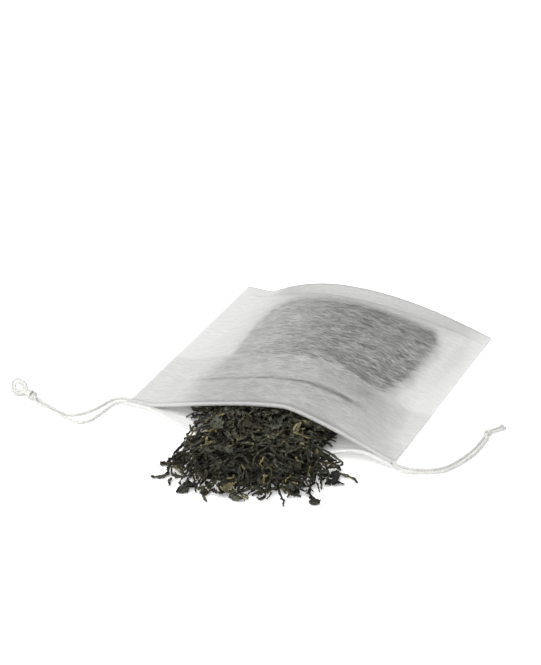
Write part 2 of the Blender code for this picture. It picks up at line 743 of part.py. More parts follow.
def string_points(rim, left_route, right_route):
    """Points of one strand: from the loop knot through its channel to the tail knot."""
    left = [LEFT_CORNER + Vector(point) * MM for point in reversed(left_route)]
    right = [RIGHT_CORNER + Vector(point) * MM for point in right_route]
    middle = [rim(x) for x in spread(-HALF_WIDTH, HALF_WIDTH, COLUMN_SPACING)]
    return smooth_points(left + middle + right, STRING_POINT_COUNT)


def make_strand(name, points, collection, material):
    """One strand of the drawstring as a round cord."""
    curve = bpy.data.curves.new(name, "CURVE")
    curve.dimensions = "3D"
    curve.bevel_depth = STRING_DIAMETER / 2
    curve.bevel_resolution = STRING_SIDES_RESOLUTION
    curve.use_fill_caps = True
    spline = curve.splines.new("POLY")
    spline.points.add(len(points) - 1)
    for knot, point in zip(spline.points, points):
        knot.co = (*point, 1.0)
    return add_object(name, curve, collection, material)


def knot_section(radius):
    """Section of a knot: the strands' turns stand out as lobes and wind round it."""
    def section(share):
        belly = math.sin(math.pi * min(max(share, 0.02), 0.98)) ** 0.5
        swell = radius * (KNOT_END_SHARE + (1 - KNOT_END_SHARE) * belly)
        turn = 2 * math.pi * KNOT_TWIST_TURNS * share
        ring = []
        for k in range(KNOT_SIDES):
            angle = 2 * math.pi * k / KNOT_SIDES
            reach = swell * (1 - KNOT_LOBE_DEPTH + KNOT_LOBE_DEPTH * math.cos(KNOT_LOBES * (angle - turn)))
            ring.append((reach * math.cos(angle), reach * math.sin(angle)))
        return ring
    return section


def make_knot(name, corner, start, end, radius, extras, collection, cutters, material):
    """Knot lump with the loop or the tails that leave it."""
    start = corner + Vector(start) * MM
    end = corner + Vector(end) * MM
    points = [start.lerp(end, step / KNOT_STEPS) for step in range(KNOT_STEPS + 1)]
    knot = add_object(name, tube_mesh(name, points, knot_section(radius)), collection, material)
    for index, path in enumerate(extras):
        extra = tube_mesh(f"{name}_{index + 1}", path, round_section(STRING_DIAMETER / 2, 6))
        add_boolean(knot, add_guide(extra.name, extra, cutters), "UNION")
    return knot


def loop_path():
    """The open ring of cord that leaves the loop knot and comes back into it."""
    centre = LEFT_CORNER + Vector(LOOP_CENTRE) * MM
    facing = Vector(LOOP_FACING).normalized()
    knot_end = LEFT_CORNER + Vector(LOOP_KNOT_END) * MM
    toward = knot_end - centre
    toward = (toward - facing * toward.dot(facing)).normalized()
    across = facing.cross(toward)
    apart = across * LOOP_ENDS_APART * STRING_DIAMETER
    points = [knot_end + apart]
    for step in range(LOOP_STEPS + 1):
        angle = math.radians(LOOP_ARC[0] + (LOOP_ARC[1] - LOOP_ARC[0]) * step / LOOP_STEPS)
        points.append(centre + (toward * math.cos(angle) + across * math.sin(angle)) * LOOP_RADIUS)
    points.append(knot_end - apart)
    return points


def main():
    """Build the tea bag."""
    clear_scene()
    collection = make_collection("tea_bag")
    cutters = make_collection("cutters")
    paper = make_material("filter_paper", (0.78, 0.78, 0.76), 0.85)
    tea = make_material("dried_tea", (0.045, 0.05, 0.03), 0.6)
    cord = make_material("cotton_string", (0.72, 0.70, 0.64), 0.9)

    bag = make_filter_bag(collection, cutters, paper)
    make_tea_in_bag(collection, tea)
    heap = make_tea_heap(collection, cutters, tea)
    make_loose_leaves(collection, tea, heap, bag)
    make_strand("drawstring_upper", string_points(upper_rim, UPPER_LEFT, UPPER_RIGHT), collection, cord)
    make_strand("drawstring_lower", string_points(lower_rim, LOWER_LEFT, LOWER_RIGHT), collection, cord)
    make_knot("loop_knot", LEFT_CORNER, LOOP_KNOT_START, LOOP_KNOT_END, LOOP_KNOT_RADIUS, [loop_path()],
              collection, cutters, cord)
    tails = []
    for route in TAIL_ROUTES:
        tails.append(smooth_points([RIGHT_CORNER + Vector(point) * MM for point in route], TAIL_STEPS))
    make_knot("tail_knot", RIGHT_CORNER, TAIL_KNOT_START, TAIL_KNOT_END, TAIL_KNOT_RADIUS, tails,
              collection, cutters, cord)


main()
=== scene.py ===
"""Dresses the fillable tea bag: white filter paper, a cotton drawstring and dry leaf tea."""

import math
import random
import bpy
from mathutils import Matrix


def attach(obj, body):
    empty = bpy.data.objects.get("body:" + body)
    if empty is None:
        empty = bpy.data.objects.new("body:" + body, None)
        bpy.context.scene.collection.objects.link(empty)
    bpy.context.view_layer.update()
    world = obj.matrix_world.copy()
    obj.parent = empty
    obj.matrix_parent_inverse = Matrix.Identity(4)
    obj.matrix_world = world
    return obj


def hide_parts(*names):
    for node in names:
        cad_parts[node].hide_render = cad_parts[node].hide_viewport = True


bl_info = {
    "name": "Fillable Tea Bag with Leaf Tea",
    "version": (1, 0, 0),
    "blender": (4, 5, 0),
    "location": "View3D > Sidebar > Tea Bag",
    "description": "Builds a drawstring filter-paper tea bag with leaf tea spilling from its mouth",
    "category": "Object",
}

import bpy
import numpy as np
from mathutils import Vector

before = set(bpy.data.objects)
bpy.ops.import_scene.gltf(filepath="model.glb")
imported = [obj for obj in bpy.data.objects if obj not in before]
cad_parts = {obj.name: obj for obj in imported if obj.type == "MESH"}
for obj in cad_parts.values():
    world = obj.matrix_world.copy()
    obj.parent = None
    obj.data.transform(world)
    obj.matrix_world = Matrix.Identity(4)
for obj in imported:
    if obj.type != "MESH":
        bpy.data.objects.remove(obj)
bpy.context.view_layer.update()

MM = 0.001

# The arch of the upper sheet, from the mouth to the seam at the back: how far back each station lies, the
# height of its crest, the crest and the two feet as shares of half the width, and how full each slope is
ARCH = np.array([
    (0.00, 1.00, 0.22, -0.82, 1.06, 1.30, 1.30),
    (0.20, 1.02, 0.22, -0.82, 0.94, 1.50, 1.60),
    (0.38, 0.99, 0.12, -0.85, 0.82, 1.60, 1.70),
    (0.60, 1.00, 0.05, -0.80, 0.90, 1.90, 1.60),
    (0.76, 0.96, 0.00, -0.80, 0.98, 2.20, 1.60),
    (0.90, 0.74, 0.00, -0.80, 1.00, 2.30, 1.70),
    (0.945, 0.66, 0.00, -0.80, 1.02, 2.40, 1.80),
    (1.00, 0.80, 0.00, -0.80, 1.04, 2.40, 1.80),
])

# Ends of the tea in the bag as shares of half the width, from the mouth to the back of the tea
TEA_LEFT = ((0, 0.06, 0.15, 0.28, 0.38, 0.48, 0.78, 0.90, 1),
            (-0.49, -0.58, -0.68, -0.64, -0.54, -0.59, -0.63, -0.58, -0.46))
TEA_RIGHT = ((0, 0.15, 0.37, 0.58, 0.88, 1), (0.53, 0.59, 0.64, 0.74, 0.76, 0.66))

# Routes of the drawstring's free ends, in metres from the corner of the mouth where they come out
UPPER_LEFT = [(-.0026, .0015, .0008), (-.0049, .0004, .0005), (-.0063, -.0028, .0005),
              (-.0075, -.0073, .0005), (-.0096, -.0120, .0005), (-.0125, -.0151, .0005),
              (-.0159, -.0159, .0005), (-.0222, -.0141, .0005), (-.0287, -.0118, .0006)]
LOWER_LEFT = [(-.0022, -.0015, .0008), (-.0039, -.0037, .0005), (-.0046, -.0094, .0005),
              (-.0056, -.0152, .0005), (-.0076, -.0182, .0005), (-.0100, -.0189, .0005),
              (-.0132, -.0182, .0005), (-.0162, -.0174, .0005), (-.0226, -.0155, .0005),
              (-.0293, -.0132, .0006)]
UPPER_RIGHT = [(.0023, .0008, .0012), (.0060, .0015, .0005), (.0098, .0027, .0005), (.0140, .0049, .0005),
               (.0166, .0076, .0005), (.0185, .0116, .0005), (.0200, .0162, .0005), (.0211, .0215, .0005),
               (.0215, .0258, .0005), (.0216, .0300, .0006)]
LOWER_RIGHT = [(.0026, -.0013, .0011), (.0060, -.0009, .0005), (.0102, .0008, .0005), (.0152, .0035, .0005),
               (.0177, .0060, .0005), (.0197, .0101, .0005), (.0213, .0144, .0005), (.0225, .0197, .0005),
               (.0229, .0241, .0005), (.0230, .0299, .0006)]

# Ends of the two knots, the middle and facing of the open loop, and the two short tails, from those corners
LOOP_KNOT = ((-.0296, -.0122, .00115), (-.0346, -.0105, .0021))
LOOP_CENTRE = (-.0379, -.0104, .0031)
LOOP_FACING = (0.36, -0.79, 0.50)
TAIL_KNOT = ((.0222, .0306, .0012), (.0220, .0340, .0012))
TAIL_ROUTES = [[(.0219, .0330, .0012), (.0230, .0357, .0009), (.0248, .0388, .00062)],
               [(.0222, .0330, .0011), (.0240, .0353, .0008), (.0257, .0383, .00062)]]

# How each knot is wound: radius and turns of its two strands, where they start round it in radians, and how
# thick the yarn is, as a share of the string. The wrap round them has the same, and how many points it has
LOOP_CORE = (0.90 * MM, 0.9, 0.4, 1.15)
LOOP_WRAP = (1.40 * MM, 2.4, 1.2, 0.90, 80)
TAIL_CORE = (0.5 * MM, 0.8, 1.1, 0.9)
TAIL_WRAP = (1.05 * MM, 1.7, 0.3, 0.85, 60)
LINE_SPACING = 0.22 * MM
HAIRS_PER_TAIL = 16

# The open loop: the distance between its two strands, and the part of a circle it goes round, in degrees
LOOP_GAP = 1.15 * MM
LOOP_FIRST, LOOP_SWEEP, LOOP_STEPS = 26, 308, 12

# The yarn: how dark it is in its grooves, the depth of the grooves between its plies and how uneven it is, as
# shares of its colour and radius, and how fast the unevenness changes along it, in radians per metre
COTTON_GREY = 0.60
PLY_GROOVE = 0.32
YARN_UNEVENNESS = 0.05
YARN_WAVES = 2100

# The right corner of the mouth stands off the table: its place and spread as shares of half the width, how
# far back the lift runs and how high it is
CORNER_PLACE = 0.78
CORNER_SPREAD = 0.36
CORNER_RUN = 16 * MM
CORNER_HEIGHT = 3.4 * MM

# The lower lip bulges out in front of the upper one: its crest and the runs to both its ends as shares of
# half the width, how far it reaches at the ends, how much more at the crest, and how far back the sheet is
# drawn along with it
LIP_CREST = -0.14
LIP_LEFT_RUN = 0.70
LIP_RIGHT_RUN = 0.94
LIP_SHELF = 1.2 * MM
LIP_BULGE = 8 * MM
LIP_DRAWN = 30 * MM

# How the upper sheet comes down to the seals: width of the slope at the sides, how much wider it is at the
# mouth, over what length it narrows and where it ends, and the width and start of the slope at the back
SIDE_SLOPE = 6 * MM
SIDE_SLOPE_MORE = 10 * MM
SIDE_SLOPE_RUN = 45 * MM
SIDE_SLOPE_END = 1 * MM
BACK_SLOPE = 2 * MM
BACK_SLOPE_START = 1.6 * MM

# Heights of the paper's soft waves where it lies flat, where tea presses on it and where it is slack
FLAT_WAVES = 0.22 * MM
PRESSED_WAVES = 0.13 * MM
SLACK_WAVES = 0.26 * MM

# How firmly the tea presses on the upper sheet at its left end, over what length that grows to full, and the
# part of it that a hem over the tea lets through
PRESS_AT_LEFT = 0.32
PRESS_RUN = 45 * MM
PRESS_UNDER_HEM = 0.45

# Rows of the paper: gap between the plies of the hem, distance between rows of the upper and of the lower
# sheet, length over which the sheet settles behind the upper channel, radius of the lower channel, steps
# round each channel, and columns
HEM_PLY = 0.28 * MM
ROW_SPACING = 0.75 * MM
LOWER_SPACING = 1.3 * ROW_SPACING
SETTLE_LENGTH = 3.2 * MM
LOWER_ROLL = 0.66 * MM
ROLL_STEPS = 12
SHEET_COLUMNS = 151

# How far behind the channels the hem's flap, the upper sheet and the lower sheet begin
FLAP_START, UPPER_START, LOWER_START = 2.6 * MM, 0.7 * MM, 2.4 * MM

# Layers of fibres in the paper: how far they lean, how drawn out they are and how close together they lie
FIBRE_LAYERS = ((0.14, 60.0, 1.0), (-0.20, 75.0, 0.85), (0.02, 90.0, 1.3), (0.36, 95.0, 0.8),
                (-0.44, 105.0, 0.8), (-0.08, 65.0, 1.1), (0.24, 110.0, 1.5), (-0.30, 80.0, 1.2))

# A fibre shows where the noise is this near its middle, and wanders over this width
FIBRE_BAND = 0.045
FIBRE_DRIFT = 7 * MM

# Shares that the fibres, the soft clouds, the single hairs and the dabs have in the paper's streaks, and
# the value that the streaks lie round
FIBRE_SHARE, CLOUD_SHARE, HAIR_SHARE, DAB_SHARE = 0.60, 0.24, 0.30, 0.30
STREAK_MIDDLE = 0.43

# Light that goes straight through the paper and light that glows through it, at thin and at dense places, and
# what the hem's two plies leave of the first
CLEAR_THIN, CLEAR_DENSE = 0.42, 0.04
GLOW_THIN, GLOW_DENSE = 0.80, 0.48
CLEAR_IN_HEM = 0.55

# Half the width of the weld line at its left and right, how much it wavers, and how much more light goes
# straight through it or glows through it
WELD_LEFT, WELD_RIGHT = 1.0 * MM, 1.9 * MM
WELD_WAVER = 1.2 * MM
WELD_CLEAR, WELD_GLOW = 0.30, 0.15

# Brightness of the paper as shares of its colour, painted in for light and shade: painted shade where it
# stands off the table and over the open mouth, painted light on the lower lip, which lies in the upper
# sheet's shade, and painted shade behind the upper channel and on the seal at the back
LIFTED_SHADE, HOLLOW_SHADE, LIP_SHADE, RIM_SHADE, SEAL_SHADE = 0.84, 0.98, 1.09, 0.88, 0.86

# Kinds of dry leaf: share of the pile, length and width of the blade laid flat, in millimetres, curl and
# twist of the blade, in radians, and the share of them that is golden brown
ROLLED, FOLDED, FLAKE, STALK, CRUMB = range(5)
LEAF_KINDS = [
    (0.52, (5.0, 12.0), (1.4, 2.6), (2.8, 5.2), (3.0, 9.0), 0.0),
    (0.26, (4.5, 9.0), (2.0, 3.6), (1.4, 3.4), (0.8, 3.6), 0.01),
    (0.14, (2.4, 5.0), (1.8, 3.6), (0.5, 1.8), (0.0, 1.2), 0.0),
    (0.02, (3.5, 7.0), (0.7, 1.1), (5.2, 5.8), (0.0, 1.0), 0.30),
    (0.06, (2.2, 4.0), (0.9, 1.7), (3.0, 5.0), (1.0, 4.0), 0.20),
]

# Half the thickness of a blade and of a stalk, how much a blade is crumpled, and how many kinks it has
BLADE_HALF = 0.09 * MM
STALK_HALF = 0.15 * MM
LEAF_CRUMPLE = 0.11 * MM
LEAF_KINKS = 3

# Middle and outline of the spilled heap, in metres from the middle of the mouth
HEAP_CENTRE = (.005, -.014)
HEAP_OUTLINE = [(-.024, .014), (-.024, .004), (-.023, -.005), (-.019, -.012), (-.019, -.020),
                (-.0175, -.029), (-.0125, -.036), (-.005, -.039), (.003, -.040), (.011, -.038),
                (.020, -.0335), (.028, -.0295), (.033, -.022), (.0355, -.014), (.034, -.0065),
                (.028, -.001), (.0265, .004), (.027, .012), (.004, .022)]

# Leaves that lie by themselves at the heap's edge, from the middle of the mouth: x, y, heading in degrees,
# length in millimetres and kind of leaf
EDGE_LEAVES = [(-.0170, -.0363, 262, 8.0, ROLLED), (-.0065, -.0410, 15, 4.2, FLAKE),
               (.0020, -.0400, 255, 9.5, ROLLED), (.0385, -.0118, 348, 10.5, ROLLED),
               (.0332, -.0268, 302, 8.0, ROLLED), (.0358, -.0300, 20, 3.6, FLAKE),
               (.0188, -.0335, 285, 6.5, ROLLED), (.0370, -.0172, 65, 7.0, FOLDED),
               (.0120, -.0385, 195, 5.5, FOLDED), (.0262, -.0338, 330, 5.5, CRUMB),
               (-.0185, -.0300, 160, 5.0, FOLDED), (-.0125, -.0388, 120, 5.0, ROLLED)]

# Broad broken leaves on top of the heap: x, y, heading in degrees, length and width in millimetres, and
# tone, which is how pale and how golden the leaf is, and a number of its own for its wrinkles
TOP_FLAKES = [(.0085, -.0368, 70, 5.0, 4.6, (0.9, 0.80, 0.3)),
              (-.0090, -.0115, 130, 8.5, 5.0, (1.25, 0.05, 0.6)),
              (.0010, -.0250, 170, 8.0, 4.4, (1.05, 0.05, 0.2)),
              (.0215, -.0150, 60, 6.0, 3.2, (0.80, 0.10, 0.8))]

# The heap: how far it reaches in front of the mouth, and how far the leaves stay under the upper sheet
HEAP_REACH = 40 * MM
ROOF_CLEARANCE = 1.1 * MM

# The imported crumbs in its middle: how far out they go and where they have no height left, as shares of the
# outline, over what share they fall, and how far they stay under the heap's height
CORE_REACH = 0.86
CORE_EDGE = 0.90
CORE_FALL = 0.3
CORE_DEPTH = 1.9 * MM

# How far out a leaf may reach, and how far out only every second one may, as shares of the outline; how low
# the heap may be, and how far a leaf may stand over it
OUTERMOST, OUTER = 1.2, 1.06
LEAST_HEIGHT = 1.5 * MM
ROOM_ABOVE = 1.6 * MM

# The heap's height map: its two corners and the size of a cell, in metres
PILE_LOW = (-45 * MM, -100 * MM)
PILE_HIGH = (50 * MM, -36 * MM)
PILE_CELL = 0.4 * MM

# How the leaves of the heap are laid: how much of a leaf's height the next one feels, how far a leaf sinks
# into those under it, how many places are tried for it, and how many leaves are tried in all
LEAF_SOLIDITY = 0.85
LAID_SINK, DROPPED_SINK = 0.1 * MM, 0.15 * MM
PLACES_PER_LEAF = 7
HEAP_TRIES, BAG_TRIES = 9000, 6000

# How far back a leaf of the heap may reach, and the factor on its paleness, which paints light and shade on
# the
# heap: at the mouth, where its top is painted paler, and how much less it is at the front, which is painted
# darker
FARTHEST_BACK = -39 * MM
PAINTED_LIGHT_AT_MOUTH, PAINTED_SHADE_TO_FRONT = 1.60, 1.35

# How far the leaves in the bag stay under the upper sheet, under its hem and behind the hem
HEM_CLEARANCE, SHEET_CLEARANCE = 0.55 * MM, 0.22 * MM

# How strongly the table glows by itself
TABLE_GLOW = 0.22

# The softboxes: name, place, width in metres and share of the key light's power
SOFTBOXES = (("softbox_over", (-0.04, -0.60, 1.02), 1.3, 1.0),
             ("softbox_left", (-0.85, -0.65, 0.75), 0.7, 0.14))

# The camera: focal length and sensor width in millimetres, and the shift of its picture in sensor widths
FOCAL_LENGTH = 108.3
SENSOR_WIDTH = 36.0
SHIFT_RIGHT, SHIFT_UP = -0.0657, 0.0573


class PaperSettings(bpy.types.PropertyGroup):
    """Sizes and colours of the filter paper."""
    width: bpy.props.FloatProperty(name="Bag Width", description="Width of the bag from side to side",
                                   default=0.100, min=0.02, unit="LENGTH")
    depth: bpy.props.FloatProperty(name="Bag Depth", description="Length of the bag from mouth to seam",
                                   default=0.0958, min=0.02, unit="LENGTH")
    thickness: bpy.props.FloatProperty(name="Paper Thickness", description="Thickness of one sheet",
                                       default=0.0002, min=0.00002, unit="LENGTH")
    hump: bpy.props.FloatProperty(name="Arch Height", description="Height of the arch over the table",
                                  default=0.013, min=0.002, unit="LENGTH")
    hem: bpy.props.FloatProperty(name="Hem Width", description="Width of the flap folded in at the mouth",
                                 default=0.036, min=0.005, unit="LENGTH")
    weld: bpy.props.FloatProperty(name="Weld Line", description="Distance of the weld line from the mouth",
                                  default=0.019, min=0.002, unit="LENGTH")
    colour: bpy.props.FloatVectorProperty(name="Paper Colour", description="Colour of the paper",
                                          default=(0.848, 0.848, 0.839), min=0, max=1, subtype="COLOR")
    fibre: bpy.props.FloatProperty(name="Fibre Spacing", description="Distance between visible fibres",
                                   default=0.0012, min=0.0001, unit="LENGTH")


class StringSettings(bpy.types.PropertyGroup):
    """Sizes and colours of the drawstring."""
    diameter: bpy.props.FloatProperty(name="String Diameter", description="Diameter of the cotton string",
                                      default=0.001, min=0.0003, unit="LENGTH")
    pitch: bpy.props.FloatProperty(name="Twist Pitch", description="Length of one turn of the plies",
                                   default=0.0034, min=0.0005, unit="LENGTH")
    loop_radius: bpy.props.FloatProperty(name="Loop Radius", description="Radius of the loop at the left",
                                         default=0.0026, min=0.001, unit="LENGTH")
    colour: bpy.props.FloatVectorProperty(name="Cotton Colour", description="Colour of the cotton string",
                                          default=(0.76, 0.755, 0.725), min=0, max=1, subtype="COLOR")


class TeaSettings(bpy.types.PropertyGroup):
    """Amounts and colours of the leaf tea."""
    heap_height: bpy.props.FloatProperty(name="Heap Height", description="Height of the heap at the mouth",
                                         default=0.0090, min=0.002, unit="LENGTH")
    front_height: bpy.props.FloatProperty(name="Front Height", description="Height of the heap's front",
                                          default=0.0042, min=0.001, unit="LENGTH")
    heap_leaves: bpy.props.IntProperty(name="Heap Leaves", description="Number of leaves in the heap",
                                       default=1000, min=10)
    bag_leaves: bpy.props.IntProperty(name="Bag Leaves", description="Number of leaves under the paper",
                                      default=1000, min=10)
    dark: bpy.props.FloatVectorProperty(name="Dark Leaf", description="Colour of the darkest leaves",
                                        default=(0.0040, 0.0045, 0.0028), min=0, max=1, subtype="COLOR")
    olive: bpy.props.FloatVectorProperty(name="Olive Leaf", description="Colour of the paler leaves",
                                         default=(0.090, 0.097, 0.072), min=0, max=1, subtype="COLOR")
    # The golden colour also paints the glints on the leaves
    golden: bpy.props.FloatVectorProperty(name="Golden Tip", description="Colour of stems and tips",
                                          default=(0.24, 0.195, 0.085), min=0, max=1, subtype="COLOR")


class StageSettings(bpy.types.PropertyGroup):
    """Floor, light and camera."""
    floor: bpy.props.FloatProperty(name="Floor Size", description="Width of the pale floor",
                                   default=6.0, min=1, unit="LENGTH")
    key: bpy.props.FloatProperty(name="Softbox Power", description="Power of the softbox overhead",
                                 default=17.5, min=0, unit="POWER")
    fill: bpy.props.FloatProperty(name="Room Light", description="Strength of the even light of the room",
                                  default=0.31, min=0)
    azimuth: bpy.props.FloatProperty(name="Camera Azimuth", description="Turn to the right of the front",
                                     default=math.radians(24.58), subtype="ANGLE")
    elevation: bpy.props.FloatProperty(name="Camera Elevation", description="Angle above the table",
                                       default=math.radians(30.28), subtype="ANGLE")
    distance: bpy.props.FloatProperty(name="Camera Distance", description="Distance from the bag's middle",
                                      default=0.7209, min=0.1, unit="LENGTH")


# Shared shape of the bag

class BagShape:
    """Heights of the two paper sheets over the table, as in the solid bag."""

    def __init__(self, paper):
        self.half_width = paper.width / 2
        self.half_depth = paper.depth / 2
        self.depth = paper.depth
        self.mouth = -self.half_depth
        self.paper = paper.thickness
        self.hump = paper.hump
        self.hem = paper.hem
        self.softness = 1.3 * MM
        self.back_seal = 5.4 * MM
        self.back_lift = 14 * MM
        self.side_seal = 3 * MM
        self.sheet_gap = 0.15 * MM
        self.channel = 1 * MM
        self.tea_front = self.mouth + 2 * MM
        self.tea_back = self.half_depth - 10.2 * MM
        self.crease = ripples(3, 9 * MM, 34 * MM)
        self.press = ripples(8, 2.5 * MM, 8 * MM, 22)
        self.slack = ripples(21, 14 * MM, 50 * MM)

    def station(self, y):
        """Values of the arch at one depth."""
        back = np.clip((y + self.half_depth) / self.depth, 0, 1)
        last = len(ARCH) - 2
        span = np.clip(np.searchsorted(ARCH[:, 0], back, side="right") - 1, 0, last)
        a, b = ARCH[np.maximum(span - 1, 0)], ARCH[span]
        c, d = ARCH[span + 1], ARCH[np.minimum(span + 2, last + 1)]
        width = c[..., :1] - b[..., :1]
        t = (back[..., None] - b[..., :1]) / width
        rise_in = (c - a) / (c[..., :1] - a[..., :1]) * width
        rise_out = (d - b) / (d[..., :1] - b[..., :1]) * width
        values = ((2 * t ** 3 - 3 * t ** 2 + 1) * b + (t ** 3 - 2 * t ** 2 + t) * rise_in
                  + (3 * t ** 2 - 2 * t ** 3) * c + (t ** 3 - t ** 2) * rise_out)
        return [values[..., column] for column in range(1, 7)]

    def arch(self, x, y):
        """Height of the upper sheet's hollow."""
        x, y = np.broadcast_arrays(np.asarray(x, float), np.asarray(y, float))
        height, crest, left, right, left_power, right_power = self.station(y)
        crest_x = crest * self.half_width
        on_left = x < crest_x
        share = np.where(on_left, (crest_x - x) / (crest_x - left * self.half_width),
                         (x - crest_x) / (right * self.half_width - crest_x))
        power = np.where(on_left, left_power, right_power)
        raw = height * self.hump * (1 - np.abs(share) ** power)
        return 0.5 * (raw + np.sqrt(raw ** 2 + self.softness ** 2))

    def mouth_lift(self, x, y):
        """Height of both sheets over the table near the right corner of the mouth."""
        side = np.clip((x / self.half_width - CORNER_PLACE) / CORNER_SPREAD, -1, 1)
        back = np.clip((y - self.mouth) / CORNER_RUN, 0, 1)
        return CORNER_HEIGHT * np.cos(side * math.pi / 2) ** 2 * np.cos(back * math.pi / 2) ** 2

    def under(self, x, y):
        """Height of the lower sheet's underside."""
        rise = np.clip((y - self.half_depth + self.back_seal + self.back_lift) / self.back_lift, 0, 1) ** 2
        back = np.maximum(self.arch(x, y) - 0.5 * self.softness, 0) * rise
        return np.maximum(back, self.mouth_lift(x, y))

    def roof(self, x, y):
        """Height of the upper sheet's inner face."""
        return np.maximum(self.arch(x, y), self.under(x, y) + self.paper + self.sheet_gap) + self.paper

    def upper(self, x, y):
        """Height of the upper sheet, drawn down on the lower one at the seals."""
        slope = SIDE_SLOPE + SIDE_SLOPE_MORE * (1 - smooth_step((y - self.mouth) / SIDE_SLOPE_RUN))
        slope_start = self.half_width - self.side_seal + SIDE_SLOPE_END - slope
        side = smooth_step((np.abs(x) - slope_start) / slope)
        back = smooth_step((y - self.half_depth + self.back_seal + BACK_SLOPE_START) / BACK_SLOPE)
        seal = np.maximum(side, back)
        free = self.roof(x, y) + 0.5 * self.paper
        return free * (1 - seal) + (self.under(x, y) + 1.5 * self.paper) * seal

    def crumpled(self, x, y):
        """Height of the upper sheet with the soft unevenness of the paper."""
        x, y = np.broadcast_arrays(np.asarray(x, float), np.asarray(y, float))
        raised = smooth_step((self.arch(x, y) - 1.2 * MM) / (4 * MM))
        edge = smooth_step((self.half_width - np.abs(x)) / (9 * MM))
        rear = smooth_step((self.half_depth - y) / (9 * MM))
        front = smooth_step((y - self.mouth) / (6 * MM))
        flat = (1 - raised) * FLAT_WAVES * (1 + self.crease(x, y)) * edge * rear * front
        over_tea = PRESSED_WAVES * self.press(x, y) * front + SLACK_WAVES * self.slack(x, y) * rear
        return self.upper(x, y) + flat + raised * over_tea

    def tea_limits(self, y):
        """Left and right end of the tea in the bag at one depth."""
        depth = np.clip((y - self.tea_front) / (self.tea_back - self.tea_front), 0, 1)
        return (np.interp(depth, TEA_LEFT[0], TEA_LEFT[1]) * self.half_width,
                np.interp(depth, TEA_RIGHT[0], TEA_RIGHT[1]) * self.half_width)

    def pressed(self, x, y):
        """How firmly the tea presses against the upper sheet, from 0 to 1."""
        left, right = self.tea_limits(y)
        inside = np.minimum(np.minimum(x - left, right - x), self.tea_back - y)
        firm = PRESS_AT_LEFT + (1 - PRESS_AT_LEFT) * smooth_step((x - left) / PRESS_RUN)
        past_hem = y - self.mouth - self.hem
        bare = (PRESS_UNDER_HEM * smooth_step(past_hem / self.hem + 1)
                + (1 - PRESS_UNDER_HEM) * smooth_step(past_hem / (2.5 * MM) + 1))
        return firm * smooth_step(inside / (4.5 * MM) + 0.2) * bare

    def lifted(self, x, y):
        """How far the back of the bag stands off the table, from 0 to 1; it places painted shade on the
        paper.
        """
        return smooth_step(self.under(x, y) / (4 * MM)) * (y > 0)

    def hollow(self, x, y):
        """How high the upper sheet stands over the open mouth, from 0 to 1; it also places painted shade on
        the paper.
        """
        in_hem = (y > self.mouth) & (y < self.mouth + self.hem)
        return smooth_step((self.arch(x, y) - 1.5 * MM) / (6 * MM)) * in_hem

    def lip_reach(self, x):
        """How far the lower sheet's mouth edge lies in front of the upper one's."""
        side = np.asarray(x, float) / self.half_width
        share = np.where(side < LIP_CREST, (LIP_CREST - side) / LIP_LEFT_RUN,
                         (side - LIP_CREST) / LIP_RIGHT_RUN)
        bulge = np.cos(np.clip(share, 0, 1) * math.pi / 2) ** 1.2
        return LIP_SHELF + LIP_BULGE * bulge

    def lower_y(self, x, y):
        """Row of the lower sheet, moved forward where the lip bulges out."""
        share = np.maximum(1 - (y - self.mouth - self.channel) / LIP_DRAWN, 0)
        return y - (self.lip_reach(x) + self.channel) * share ** 2

    def upper_rim(self, x):
        """Middle of the upper string channel."""
        x = np.asarray(x, float)
        y = np.full_like(x, self.mouth + self.channel)
        z = np.maximum(self.roof(x, y) + self.paper, self.under(x, y) + self.channel)
        return np.stack([x, y, z], -1)

    def lower_rim(self, x):
        """Middle of the lower string channel."""
        x = np.asarray(x, float)
        lift = self.mouth_lift(x, np.full_like(x, self.mouth))
        return np.stack([x, self.mouth - self.lip_reach(x), lift + self.channel], -1)


# Shared helpers

def smooth_step(t):
    """Ease from 0 to 1."""
    t = np.clip(t, 0, 1)
    return t * t * (3 - 2 * t)


def ripples(seed, shortest, longest, count=14):
    """Soft uneven waves between two wavelengths, as a function of place."""
    chance = random.Random(seed)
    waves = []
    for _ in range(count):
        length = shortest * (longest / shortest) ** chance.random()
        heading = chance.uniform(0, math.pi)
        waves.append((2 * math.pi * math.cos(heading) / length, 2 * math.pi * math.sin(heading) / length,
                      chance.uniform(0, 2 * math.pi), (length / longest) ** 0.5))
    total = sum(wave[3] for wave in waves)

    def height(x, y):
        value = 0
        for a, b, phase, share in waves:
            value = value + share * np.sin(a * x + b * y + phase)
        return value / total

    return height


def smooth_line(controls, spacing, closed=False):
    """Evenly spaced points along a smooth curve through the control points."""
    controls = np.asarray(controls, float)
    spans = len(controls) if closed else len(controls) - 1
    t = np.arange(16)[:, None] / 16
    fine = []
    for span in range(spans):
        if closed:
            a, b, c, d = (controls[(span + step) % len(controls)] for step in (-1, 0, 1, 2))
        else:
            b, c = controls[span], controls[span + 1]
            a = controls[span - 1] if span > 0 else 2 * b - c
            d = controls[span + 2] if span + 2 < len(controls) else 2 * c - b
        fine.append(0.5 * (2 * b + (c - a) * t + (2 * a - 5 * b + 4 * c - d) * t ** 2
                           + (3 * b - a - 3 * c + d) * t ** 3))
    fine.append(controls[:1] if closed else controls[-1:])
    fine = np.concatenate(fine)
    travelled = np.concatenate([[0], np.cumsum(np.linalg.norm(np.diff(fine, axis=0), axis=1))])
    count = max(int(round(travelled[-1] / spacing)), 2) + 1
    wanted = np.linspace(0, travelled[-1], count)
    return np.stack([np.interp(wanted, travelled, fine[:, axis]) for axis in range(3)], -1)


def line_length(points):
    """Length of a line of points."""
    return float(np.linalg.norm(np.diff(points, axis=0), axis=1).sum())


